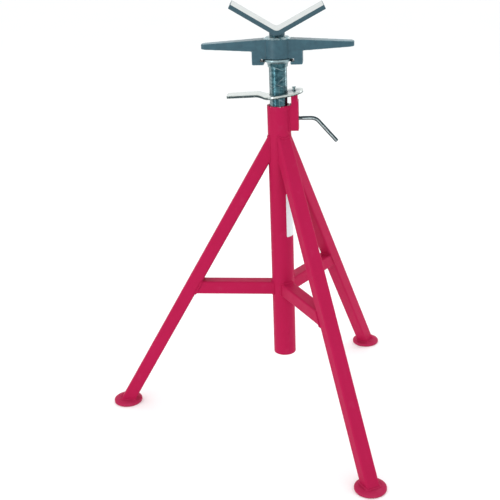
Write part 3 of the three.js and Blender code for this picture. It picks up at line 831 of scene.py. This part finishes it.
for side, turn in legs["turns"].items():
    makeSquareTube(f"legTube_{side}", f"leg_{side}", turn, legFoot, legTop)
    makeSquareTube(f"braceTube_{side}", f"brace_{side}", turn, braceInner, braceOuter)
    makePad(side, turn)
print("tripod tubes ready")


# Weld beads

welds = dict(
    radius=2.3 * mm, topRadius=1.8 * mm, padRadius=2.6 * mm, pitch=2.6 * mm, step=0.65 * mm, sides=10,
    ripple=0.16, crest=0.8,  # how much each puddle swells, and where along it the most
    wander=0.25 * mm, wanderPaces=(0.21, 0.083), fadeSteps=4,
)


def evenPath(points, step, closed):
    # The same path with points at even steps
    loop = points + points[:1] if closed else points
    lengths = [(b - a).length for a, b in zip(loop, loop[1:])]
    total = sum(lengths)
    count = round(total / step)
    path = []
    part, passed = 0, 0.0
    for i in range(count if closed else count + 1):
        target = total * i / count
        while part < len(lengths) - 1 and passed + lengths[part] < target:
            passed += lengths[part]
            part += 1
        share = min((target - passed) / lengths[part], 1)
        path.append(loop[part].lerp(loop[part + 1], share))
    return path


def makeBead(name, points, radius, body="tripod", closed=True, material=enamelRed):
    w = welds
    path = evenPath(points, w["step"], closed)
    perPitch = w["pitch"] / w["step"]

    def radiusAt(i):
        along = (i % perPitch) / perPitch  # each puddle swells, then drops to the next
        swell = 1 - w["ripple"] + 2 * w["ripple"] * along * (2 * w["crest"] - along)
        hand = w["wander"] * sin(i * w["wanderPaces"][0]) * sin(i * w["wanderPaces"][1] + 1)
        toEnd = min(i + 0.5, len(path) - i - 0.5) / w["fadeSteps"]
        fade = 1 if closed else min(1, toEnd)
        return (radius * swell + hand) * sqrt(fade)

    bm = bmesh.new()
    addSweep(bm, path, radiusAt, w["sides"], closed)
    makePiece(name, bm, material, body, sharpAngle=75, flatShare=False)


for side, turn in legs["turns"].items():
    for joint, end, radius in (
        ("legTop", legTop, welds["topRadius"]), ("legFoot", legFoot, welds["padRadius"]),
        ("braceInner", braceInner, welds["radius"]), ("braceOuter", braceOuter, welds["radius"]),
    ):
        makeBead(f"weld_{joint}_{side}", tubeEnd(squareSection(), end, 0, turn), radius)
print("welds ready")


# Clamp bracket, welded beside the tube, with the tab that the lock plate rocks on

bracket = dict(
    bottom=593 * mm, step=648 * mm, outer=37 * mm, width=22 * mm, tabInner=23.8 * mm, tabOuter=35.4 * mm,
    tabTop=661 * mm, edge=0.9 * mm, slices=12, screwHole=4 * mm,
    studHole=2.55 * mm, studDepth=6.3 * mm, studX=29 * mm, beadRadius=1.9 * mm, beadDrop=1.5 * mm,
)


def makeBracket():
    b = bracket
    tubeTop = outerTube["top"]
    shoulder = b["outer"] - b["tabOuter"]
    rings = []
    for i in range(b["slices"] + 1):
        y = b["width"] * (i / b["slices"] - 0.5)
        onTube = sqrt((tubeRadius + seatGap) ** 2 - y ** 2)
        outline = [
            (onTube, b["bottom"]), (b["outer"], b["bottom"]), (b["outer"], b["step"]),
            (b["tabOuter"], b["step"] + shoulder), (b["tabOuter"], b["tabTop"]),
            (b["tabInner"], b["tabTop"]), (b["tabInner"], tubeTop), (onTube, tubeTop),
        ]
        rings.append([(x, y, z) for x, z in outline])
    bm = bmesh.new()
    addRings(bm, rings, capped=True)
    softenEdges(bm, b["edge"])
    piece = makePiece(
        "clampBracket", bm, enamelRed, "tripod", ["clamp_bracket"], flatShare=False,
    )
    across = Vector((0, 0, outerTube["screwHeight"]))
    cutHole(piece, b["screwHole"], across, across + Vector((b["outer"] + overrun, 0, 0)))
    down = Vector((b["studX"], 0, b["tabTop"] - b["studDepth"]))
    cutHole(piece, b["studHole"], down, down + Vector((0, 0, b["studDepth"] + overrun)))
    keepFacesFlat(piece)
    # One bead runs down a side, across the bottom and up the other side
    half = b["width"] / 2
    low, high = b["bottom"], tubeTop - b["beadDrop"]
    route = ((-1, high), (-1, low), (-0.5, low), (0, low), (0.5, low), (1, low), (1, high))
    path = [Vector((sqrt(tubeRadius ** 2 - (half * k) ** 2), half * k, z)) for k, z in route]
    makeBead("weld_bracket", path, b["beadRadius"], closed=False)


makeBracket()


# Retainer stud, a headed pin that keeps the lock plate on its tab

stud = dict(
    radius=2.2 * mm, footRound=0.4 * mm, neckRound=0.3 * mm, x=bracket["studX"], sides=40,
    headRadius=4 * mm, head=1.5 * mm, headEdge=0.2 * mm, dome=0.5 * mm, crownShare=0.55, crownRound=1 * mm,
    bottom=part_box("retainer_stud")[0][2], top=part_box("retainer_stud")[1][2],
)


def makeStud():
    s = stud
    under = s["top"] - s["head"]
    profile = roundedOutline([
        (0, s["bottom"]), (s["radius"], s["bottom"], s["footRound"]), (s["radius"], under, s["neckRound"]),
        (s["headRadius"], under, s["headEdge"]), (s["headRadius"], s["top"] - s["dome"], s["dome"]),
        (s["headRadius"] * s["crownShare"], s["top"], s["crownRound"]), (0, s["top"]),
    ], closed=False)
    bm = bmesh.new()
    addLathe(bm, profile, s["sides"], centre=(s["x"], 0))
    makePiece("retainerStud", bm, tubeSteel, "tripod", ["retainer_stud"])


makeStud()


# Lock plate: a stamped plate round the post, bent level for a handle

lockPlate = dict(
    thickness=5 * mm, tilt=radians(9), ring=30 * mm, tail=29 * mm, tailX=17 * mm, tailSteps=28,
    handleEnd=-96.5 * mm, bendX=-37.5 * mm, neckX=-22.5 * mm, handleRise=5 * mm, droop=radians(2.3),
    bendSpan=4 * mm, bendSlices=6, handleWidth=30 * mm, rootWidth=36 * mm, corner=5 * mm,
    blend=10 * mm, blendAngle=radians(120), blendSteps=8, edge=0.7 * mm,
    postPlay=0.6 * mm, postHoleSides=72, studHole=4.5 * mm, studHoleSides=32,
    # The torn part of an edge is also painted dark as shade, most on the handle
    tornAndShadedRing=0.35, tornAndShadedHandle=0.8,  # how much of the thickness is torn round the ring and the handle
)


def lockOutline():
    p = lockPlate
    overRing = p["tail"] - p["ring"]
    tangent = pi - atan2(sqrt(p["tailX"] ** 2 - overRing ** 2), overRing)
    rootHalf, half = p["rootWidth"] / 2, p["handleWidth"] / 2
    root = Vector((-sqrt(p["ring"] ** 2 - rootHalf ** 2) - p["blend"], rootHalf))
    upper = arcPoints(p["tail"], 0, tangent, p["tailSteps"], (p["tailX"], 0))
    upper += arcPoints(p["ring"], tangent, p["blendAngle"] - tangent, p["blendSteps"])
    upper += curvePoints(upper[-1], root + Vector((p["blend"], 0)), root, p["blendSteps"])[1:]
    handle = [root, (p["handleEnd"], half), (p["handleEnd"], 0)]
    upper += roundedOutline(handle, p["corner"], p["blendSteps"], closed=False)[1:-1]
    return upper + [Vector((point.x, -point.y)) for point in reversed(upper[1:])]


def roundedBend(x, cornerX, cornerZ, leftSlope, rightSlope):
    # Height at x of two slopes that meet at a corner, rounded over the bend's span
    span = lockPlate["bendSpan"]
    if abs(x - cornerX) > span:
        return cornerZ + (x - cornerX) * (leftSlope if x < cornerX else rightSlope)
    into = x - (cornerX - span)
    return cornerZ + (into - span) * leftSlope + into ** 2 * (rightSlope - leftSlope) / (4 * span)


def lockHeight(x):
    # Underside of the plate: tilted round the post, a short step up, and the handle
    p = lockPlate
    slope = tan(p["tilt"])
    neckZ = bracket["tabTop"] + seatGap + (p["neckX"] - bracket["tabInner"]) * slope
    stepSlope = -p["handleRise"] / (p["neckX"] - p["bendX"])
    if x > (p["bendX"] + p["neckX"]) / 2:
        return roundedBend(x, p["neckX"], neckZ, stepSlope, slope)
    return roundedBend(x, p["bendX"], neckZ + p["handleRise"], tan(p["droop"]), stepSlope)


def makeLockPlate():
    p = lockPlate
    rise = p["thickness"] / cos(p["tilt"])
    postHole = (2 * postRadius + p["postPlay"] + rise * sin(p["tilt"])) / cos(p["tilt"]) / 2
    loops = [
        lockOutline(), arcPoints(postHole, 0, tau, p["postHoleSides"])[:-1],
        arcPoints(p["studHole"], 0, tau, p["studHoleSides"], (bracket["studX"], 0))[:-1],
    ]
    shares = [2 * i / p["bendSlices"] - 1 for i in range(p["bendSlices"] + 1)]
    bm = bmesh.new()
    addSheet(bm, loops, [x + p["bendSpan"] * share for x in (p["bendX"], p["neckX"]) for share in shares])
    # Raised in three layers, whose borders are where the torn part of an edge can end
    flat = bm.faces[:]
    for layer, share in enumerate((p["tornAndShadedRing"], p["tornAndShadedHandle"] - p["tornAndShadedRing"], 1 - p["tornAndShadedHandle"])):
        raised = bmesh.ops.extrude_face_region(bm, geom=flat)["geom"]
        if layer:
            bmesh.ops.delete(bm, geom=flat, context="FACES")  # only the first layer keeps its underside
        flat = [f for f in raised if isinstance(f, bmesh.types.BMFace)]
        for vert in (v for v in raised if isinstance(v, bmesh.types.BMVert)):
            vert.co.z += rise * share
    # Under its shiny shear band a punched edge is torn and dull, and less of it round the ring; the dark torn
    # part is also painted shade on the edge, most on the handle
    bmesh.ops.recalc_face_normals(bm, faces=bm.faces)
    for face in bm.faces:
        middle = face.calc_center_median()
        tornAndShaded = p["tornAndShadedRing"] if middle.x > p["neckX"] + p["bendSpan"] else p["tornAndShadedHandle"]
        upright = abs(face.normal.z) < 0.5
        if upright and middle.z < rise * tornAndShaded:
            face.material_index = 1
    for vert in bm.verts:
        vert.co.z += lockHeight(vert.co.x)
    softenEdges(bm, p["edge"])
    piece = makePiece("lockPlate", bm, zinc, "lock_plate", ["lock_plate"])
    piece.data.materials.append(tornAndShadedPlate)


makeLockPlate()


# Clamp screw: one rod, threaded in the bracket and bent down for a handle

clampScrew = dict(
    radius=3.65 * mm, height=outerTube["screwHeight"], bendX=69 * mm, bendReach=9 * mm, bendSteps=14,
    run=39.8 * mm, drop=45.2 * mm, step=0.4 * mm, sides=24,
    threadEnd=44 * mm, threadPitch=1.6 * mm, threadDepth=0.5 * mm,
    tipShares=(0.75, 0.8, 0.85, 0.9), domeHeight=0.6, domeTop=0.3, domeSteps=5,  # shares of the rod's radius
)


def makeClampScrew():
    s = clampScrew
    tip = Vector((postRadius + seatGap, 0, s["height"]))
    bend = Vector((s["bendX"], 0, s["height"]))
    end = bend + Vector((s["run"], 0, -s["drop"]))
    before = bend - Vector((s["bendReach"], 0, 0))
    after = bend + (end - bend).normalized() * s["bendReach"]
    steps = round((before.x - tip.x) / s["step"])
    path = [tip.lerp(before, i / steps) for i in range(steps)]
    path += curvePoints(before, bend, after, s["bendSteps"])
    # The cut end is rounded over
    dome = (end - after).normalized() * s["radius"] * s["domeHeight"]
    angles = [pi / 2 * i / s["domeSteps"] for i in range(s["domeSteps"] + 1)]
    path += [after.lerp(end - dome, share) for share in (1 / 3, 2 / 3)]
    domeStart = len(path)
    path += [end - dome * (1 - sin(a)) for a in angles]

    def radiusAt(i):
        if i >= domeStart:
            return s["radius"] * (s["domeTop"] + (1 - s["domeTop"]) * cos(angles[i - domeStart]))
        if i < len(s["tipShares"]):
            return s["radius"] * s["tipShares"][i]
        return s["radius"]

    bm = bmesh.new()
    rings = addSweep(bm, path, radiusAt, s["sides"])
    # The thread winds once round the rod for each pitch
    for ring in rings:
        x = ring[0].co.x
        if x > s["threadEnd"]:
            break
        for vert in ring:
            arm = Vector((vert.co.y, vert.co.z - s["height"]))
            phase = (x / s["threadPitch"] - atan2(arm.y, arm.x) / tau) % 1
            cut = s["threadDepth"] * abs(2 * phase - 1)
            arm *= (arm.length - cut) / arm.length
            vert.co.y, vert.co.z = arm.x, arm.y + s["height"]
    makePiece(
        "clampScrew", bm, rodSteel, "clamp_screw", ["clamp_screw"],
        sharpAngle=60, flatShare=False,
    )


makeClampScrew()
print("clamp and lock ready")


# Post and its flared flange

post = dict(wall=3 * mm, bottom=postBox[0].z, top=postBox[1].z, edge=0.6 * mm, edgeSteps=3, sides=96)
flange = dict(
    rimRadius=28 * mm, rim=4.6 * mm, rimRound=1.6 * mm, flareHeight=15.5 * mm, flareWidth=7.2 * mm,
    flareSteps=12, sleeve=1.4 * mm, boreRound=0.4 * mm, roundSteps=5, brightFrom=2.2 * mm, sides=96,
)


def makePost():
    inner = postRadius - post["wall"]
    profile = roundedOutline([
        (inner, post["bottom"]), (postRadius, post["bottom"]),
        (postRadius, post["top"]), (inner, post["top"]),
    ], post["edge"], post["edgeSteps"])
    bm = bmesh.new()
    addLathe(bm, profile, post["sides"], closed=True)
    makePiece("postTube", bm, tubeSteel, "post", ["post"], flatShare=False)


def makeFlange():
    f = flange
    inner = postRadius + seatGap
    sleeve = inner + f["sleeve"]
    low, under = post["top"] - f["flareHeight"], post["top"] - f["rim"]
    flare = []
    for i in range(f["flareSteps"] + 1):
        angle = pi / 2 * i / f["flareSteps"]
        flare.append((sleeve + f["flareWidth"] * (1 - cos(angle)), low + (under - low) * sin(angle)))
    profile = roundedOutline([
        (inner, low), *flare, (f["rimRadius"], under, f["rimRound"]),
        (f["rimRadius"], post["top"], f["rimRound"]), (inner, post["top"], f["boreRound"]),
    ], steps=f["roundSteps"])
    bm = bmesh.new()
    addLathe(bm, profile, f["sides"], closed=True)
    # The rim and the flare under it are bright, where they are rubbed
    for face in bm.faces:
        if face.calc_center_median().xy.length > sleeve + f["brightFrom"]:
            face.material_index = 1
    piece = makePiece("postFlange", bm, tubeSteel, "post", ["post_flange"], flatShare=False)
    piece.data.materials.append(flangeZinc)


makePost()
makeFlange()


# Jack nut: an iron casting with a hub, two tapered arms and two hooked lugs under the flange

nut = dict(
    top=767.4 * mm, hubBottom=728.5 * mm, hubRadius=25 * mm, crownRadius=21 * mm, crown=4.6 * mm,
    bore=13.05 * mm,
    innerX=15 * mm, armRoot=24.4 * mm, armEnd=140.5 * mm, rootTop=763.6 * mm, rootBottom=741.2 * mm,
    endTop=756.8 * mm, endBottom=747.4 * mm, rootWidth=30 * mm, endWidth=22 * mm, endCorner=5 * mm,
    lugOuter=46.6 * mm, lugWidth=30 * mm, lugFootX=24.4 * mm, lugBottom=717.4 * mm, lugOverlap=2 * mm,
    grooveX=31.4 * mm, grooveZ=722.8 * mm, sides=96, armSlices=24,
    cornerShare=0.999,  # an end corner stops this far along its radius
    bareShare=0.8,  # of the crown's height, where the paint is gone
    voxel=0.9 * mm, smoothing=0.5, smoothings=5, keptFaces=0.35,
)


def addNutArm(bm, sign):
    # A row of upright sections that taper in height and width
    n = nut
    rings = []
    for i in range(n["armSlices"] + 1):
        x = n["innerX"] + (n["armEnd"] - n["innerX"]) * i / n["armSlices"]
        share = max(0, (x - n["armRoot"]) / (n["armEnd"] - n["armRoot"]))
        top = n["rootTop"] + (n["endTop"] - n["rootTop"]) * share
        low = n["rootBottom"] + (n["endBottom"] - n["rootBottom"]) * share
        half = (n["rootWidth"] + (n["endWidth"] - n["rootWidth"]) * share) / 2
        past = min(max(0, x - (n["armEnd"] - n["endCorner"])), n["endCorner"] * n["cornerShare"])
        half -= n["endCorner"] - sqrt(n["endCorner"] ** 2 - past ** 2)
        rings.append([(sign * x, y, z) for y, z in ((-half, low), (half, low), (half, top), (-half, top))])
    addRings(bm, rings, capped=True)


def addNutLug(bm, sign):
    n = nut
    top = n["rootBottom"] + n["lugOverlap"]
    outline = [
        (n["innerX"], n["hubBottom"]), (n["grooveX"], n["hubBottom"]), (n["grooveX"], n["grooveZ"]),
        (n["lugFootX"], n["grooveZ"]), (n["lugFootX"], n["lugBottom"]), (n["lugOuter"], n["lugBottom"]),
        (n["lugOuter"], top), (n["innerX"], top),
    ]
    addPrism(bm, outline, -n["lugWidth"] / 2, n["lugWidth"] / 2, lambda u, v, depth: (sign * u, depth, v))


def makeNut():
    n = nut
    bm = bmesh.new()
    addLathe(bm, [
        (n["bore"], n["hubBottom"]), (n["hubRadius"], n["hubBottom"]),
        (n["hubRadius"], n["top"] - n["crown"]), (n["crownRadius"], n["top"]), (n["bore"], n["top"]),
    ], n["sides"], closed=True)
    for sign in (1, -1):
        addNutArm(bm, sign)
        addNutLug(bm, sign)
    piece = makePiece(
        "jackNut", bm, castIron, "nut", ["jack_nut"], sharpAngle=180, flatShare=False,
    )
    remesh = piece.modifiers.new("castSkin", "REMESH")
    remesh.mode = "VOXEL"
    remesh.voxel_size = n["voxel"]
    remesh.use_smooth_shade = True
    soften = piece.modifiers.new("castFillets", "SMOOTH")
    soften.factor = n["smoothing"]
    soften.iterations = n["smoothings"]
    thin = piece.modifiers.new("fewerFaces", "DECIMATE")
    thin.ratio = n["keptFaces"]
    keepShape(piece)
    piece.data.materials.append(crownIron)
    for face in piece.data.polygons:
        outward = (face.center.xy - postAxis.xy).length
        if face.center.z > n["top"] - n["crown"] * n["bareShare"] and outward < n["crownRadius"] + n["crown"]:
            face.material_index = 1


makeNut()
print("post and nut ready")


# Jack screw, with a single-start trapezoidal thread

jackScrew = dict(
    radius=12.7 * mm, lead=5.08 * mm, depth=2.2 * mm, crestShare=0.25, length=132 * mm,
    tipChamfer=3 * mm, shoulderZ=767.7 * mm, shoulderRadius=13.6 * mm, shoulderTop=768.95 * mm,
    spigot=9 * mm, top=775.75 * mm, sides=36, perTurn=10,
)
saddleTurn = radians(4.4)  # the V isn't square with the arms of the nut


def makeJackScrew():
    s = jackScrew
    low = s["shoulderZ"] - s["length"]
    high = s["shoulderZ"] - s["lead"] / 2
    count = round((high - low) / s["lead"] * s["perTurn"])
    rings = [[(0, 0, low)]]
    for i in range(count + 1):
        z = low + (high - low) * i / count
        tipCut = max(0, s["tipChamfer"] - (z - low))
        ring = []
        for k, angle in enumerate(circleAngles(s["sides"])):
            phase = (i / s["perTurn"] - k / s["sides"]) % 1
            groove = min(max(abs(phase - 0.5) / s["crestShare"] - 0.5, 0), 1)
            radius = min(s["radius"] - s["depth"] * groove, s["radius"] - tipCut)
            ring.append((radius * cos(angle + saddleTurn), radius * sin(angle + saddleTurn), z))
        rings.append(ring)
    profile = [
        (s["radius"] - s["depth"], s["shoulderZ"]), (s["shoulderRadius"], s["shoulderZ"]),
        (s["shoulderRadius"], s["shoulderTop"]), (s["spigot"], s["shoulderTop"]), (s["spigot"], s["top"]),
    ]
    rings += [[(r * cos(a), r * sin(a), z) for a in circleAngles(s["sides"])] for r, z in profile]
    rings.append([(0, 0, s["top"])])
    bm = bmesh.new()
    addRings(bm, rings)
    makePiece(
        "jackScrew", bm, tubeSteel, "saddle", ["jack_screw"], sharpAngle=38, flatShare=False,
    )


makeJackScrew()


# Saddle: a plate bent to a V, with a round collar welded under the bend

saddle = dict(
    thickness=7.94 * mm, depth=76 * mm, armLength=89 * mm, notch=782.39 * mm, bend=11 * mm,
    leftAngle=radians(31.5), rightAngle=radians(27.4), edge=0.8 * mm, bendSteps=14, armSteps=4,
)
collar = dict(
    radius=14.3 * mm, bore=9.3 * mm, bottom=769.25 * mm, sides=72, beadRadius=1.4 * mm,
    edge=0.7 * mm, edgeShare=0.3,  # of the edge, by which the middle of its rounding lies in
)


def saddleAngle(x):
    return saddle["rightAngle"] if x > 0 else saddle["leftAngle"]


def saddleSide(radius, sign):
    # Half of one face, as (x, z) from the middle of the bend out to the tip
    s = saddle
    angle = saddleAngle(sign)
    turns = [angle * i / s["bendSteps"] for i in range(s["bendSteps"] + 1)]
    points = [Vector((radius * sin(a), s["notch"] + s["bend"] - radius * cos(a))) for a in turns]
    along = Vector((cos(angle), sin(angle)))
    points += [points[-1] + along * s["armLength"] * i / s["armSteps"] for i in range(1, s["armSteps"] + 1)]
    return [Vector((sign * p.x, p.y)) for p in points]


def saddleUnderAt(x):
    # Height of the plate's underside, less the seat of the collar
    angle = saddleAngle(x)
    radius = saddle["bend"] + saddle["thickness"] + seatGap
    centreZ = saddle["notch"] + saddle["bend"]
    bendX = radius * sin(angle)
    if abs(x) <= bendX:
        return centreZ - sqrt(radius ** 2 - x ** 2)
    return centreZ - radius * cos(angle) + (abs(x) - bendX) * tan(angle)


def makeSaddlePlate():
    s = saddle
    upper, lower = s["bend"], s["bend"] + s["thickness"]
    outline = list(reversed(saddleSide(lower, -1))) + saddleSide(lower, 1)[1:]
    outline += list(reversed(saddleSide(upper, 1))) + saddleSide(upper, -1)[1:]
    bm = bmesh.new()
    addPrism(bm, outline, -s["depth"] / 2, s["depth"] / 2, lambda u, v, depth: (u, depth, v))
    # Its two long sides and the ends of its arms are sheared
    bmesh.ops.recalc_face_normals(bm, faces=bm.faces)
    for face in bm.faces:
        angle = saddleAngle(face.normal.x)
        outward = abs(face.normal.x) * cos(angle) + face.normal.z * sin(angle)
        if max(abs(face.normal.y), outward) > 0.9:  # it looks almost straight out of a side or an end
            face.material_index = 1
    softenEdges(bm, s["edge"], slot=1)
    bmesh.ops.rotate(bm, verts=bm.verts, matrix=Matrix.Rotation(saddleTurn, 3, "Z"))
    piece = makePiece("saddlePlate", bm, saddleZinc, "saddle", ["saddle_plate"])
    piece.data.materials.append(edgeSteel)


def makeCollar():
    c = collar
    inset = c["edge"] * c["edgeShare"]

    def ring(radius, height=None):
        # Without a height it follows the underside of the V
        across = [(radius * cos(a), radius * sin(a)) for a in circleAngles(c["sides"])]
        return [(x, y, saddleUnderAt(x) if height is None else height) for x, y in across]

    bm = bmesh.new()
    addRings(bm, [
        ring(c["bore"], c["bottom"]), ring(c["radius"] - c["edge"], c["bottom"]),
        ring(c["radius"] - inset, c["bottom"] + inset), ring(c["radius"], c["bottom"] + c["edge"]),
        ring(c["radius"]), ring(c["bore"]),
    ], closed=True)
    bmesh.ops.rotate(bm, verts=bm.verts, matrix=Matrix.Rotation(saddleTurn, 3, "Z"))
    makePiece("saddleCollar", bm, edgeSteel, "saddle", ["saddle_socket"])
    path = [turnedAboutPost(point, saddleTurn) for point in ring(c["radius"])]
    makeBead("weld_collar", path, c["beadRadius"], "saddle", material=edgeSteel)


makeSaddlePlate()
makeCollar()
print("saddle ready")


# Blank paper sticker on the tube's right side

sticker = dict(
    low=383 * mm, high=471 * mm, fromAngle=radians(-61), toAngle=radians(25),
    paper=0.14 * mm, lift=0.08 * mm, corner=2 * mm, cornerSteps=5, split=1.2 * mm, slices=24,
    sliver=0.05 * mm,
)


def makeSticker():
    s = sticker
    width = (s["toAngle"] - s["fromAngle"]) * tubeRadius
    height = s["high"] - s["low"]
    corners = [(0, 0), (width, 0), (width, height), (0, height)]
    outline = roundedOutline(corners, s["corner"], s["cornerSteps"])
    bm = bmesh.new()
    addSheet(bm, [splitLong(outline, s["split"])], [width * i / s["slices"] for i in range(1, s["slices"])])
    bmesh.ops.remove_doubles(bm, verts=bm.verts, dist=s["sliver"])  # the cuts leave slivers beside its corners
    raised = bmesh.ops.extrude_face_region(bm, geom=bm.faces[:])["geom"]
    outside = {v for v in raised if isinstance(v, bmesh.types.BMVert)}
    # The flat sheet is wrapped round the tube
    for vert in bm.verts:
        angle = s["fromAngle"] + vert.co.x / tubeRadius
        radius = tubeRadius + s["lift"] + (s["paper"] if vert in outside else 0)
        vert.co = (radius * cos(angle), radius * sin(angle), s["low"] + vert.co.y)
    makePiece("paperSticker", bm, paper, "tripod")


makeSticker()
print("sticker ready")


# Floor and light

studio = dict(
    floor=60.0, floorGrain=400, floorShade="#F8F8F7", floorPale="#FCFCFB", floorGlow=0.05,
    floorRoughness=0.95, floorSheen=0.1,
    sky=1.36, horizon="#FFFFFF", overhead="#C2C6C8", ceiling=(0.45, 0.8), aimHeight=0.45,
    lamps=dict(
        topSoftbox=dict(width=1.6, height=1.6, power=12, place=(0.2, 0.3, 2.6)),
        leftStrip=dict(width=0.26, height=1.3, power=9, place=(-1.55, -1.8, 0.75)),
        rightStrip=dict(width=0.4, height=1.3, power=6, place=(2.0, 1.1, 0.75)),
    ),
)


def makeFloor():
    half = studio["floor"] / 2
    mesh = bpy.data.meshes.new("paleFloor")
    corners = [(-half, -half, 0), (half, -half, 0), (half, half, 0), (-half, half, 0)]
    mesh.from_pydata(corners, [], [(0, 1, 2, 3)])
    floor = addObject("paleFloor", mesh)
    material, tree, place = newMaterial("paleFloor")
    grain = addNode(tree, "ShaderNodeTexNoise", {"Scale": perMm(studio["floorGrain"]), "Detail": 2.0}, {
        "Vector": place,
    })
    colour = addNode(tree, "ShaderNodeMix", {
        "data_type": "RGBA", 6: studio["floorShade"], 7: studio["floorPale"],
    }, {0: grain.outputs["Fac"]})
    shader = addNode(tree, "ShaderNodeBsdfPrincipled", {
        "Roughness": studio["floorRoughness"], "Specular IOR Level": studio["floorSheen"],
        "Emission Color": "#FFFFFF", "Emission Strength": studio["floorGlow"],
    }, {"Base Color": colour.outputs[2]})
    addNode(tree, "ShaderNodeOutputMaterial", None, {"Surface": shader.outputs[0]})
    mesh.materials.append(material)


def makeLamp(name, lamp):
    data = bpy.data.lights.new(name, "AREA")
    data.shape = "RECTANGLE"
    data.size = lamp["width"]
    data.size_y = lamp["height"]
    data.energy = lamp["power"]
    light = addObject(name, data)
    light.visible_camera = False
    aim = postAxis + Vector((0, 0, studio["aimHeight"]))
    light.location = lamp["place"]
    light.rotation_euler = (aim - Vector(lamp["place"])).to_track_quat("-Z", "Y").to_euler()


def makeSky():
    # White walls and a greyer ceiling, which draws a dark line on rounded metal
    world = bpy.data.worlds.new("softSky")
    world.use_nodes = True
    tree = world.node_tree
    tree.nodes.clear()
    ray = addNode(tree, "ShaderNodeTexCoord").outputs["Generated"]
    height = addNode(tree, "ShaderNodeSeparateXYZ", None, {"Vector": ray}).outputs["Z"]
    ceiling = addNode(tree, "ShaderNodeMapRange", {
        "From Min": studio["ceiling"][0], "From Max": studio["ceiling"][1],
    }, {"Value": height})
    colour = addNode(tree, "ShaderNodeMix", {
        "data_type": "RGBA", 6: studio["horizon"], 7: studio["overhead"],
    }, {0: ceiling.outputs[0]})
    glow = addNode(tree, "ShaderNodeBackground", {"Strength": studio["sky"]}, {"Color": colour.outputs[2]})
    addNode(tree, "ShaderNodeOutputWorld", None, {"Surface": glow.outputs[0]})
    bpy.context.scene.world = world


makeFloor()
makeSky()
for name, lamp in studio["lamps"].items():
    makeLamp(name, lamp)
bpy.context.scene.view_settings.view_transform = "Standard"
bpy.context.scene.view_settings.look = "None"
print("floor and light ready")
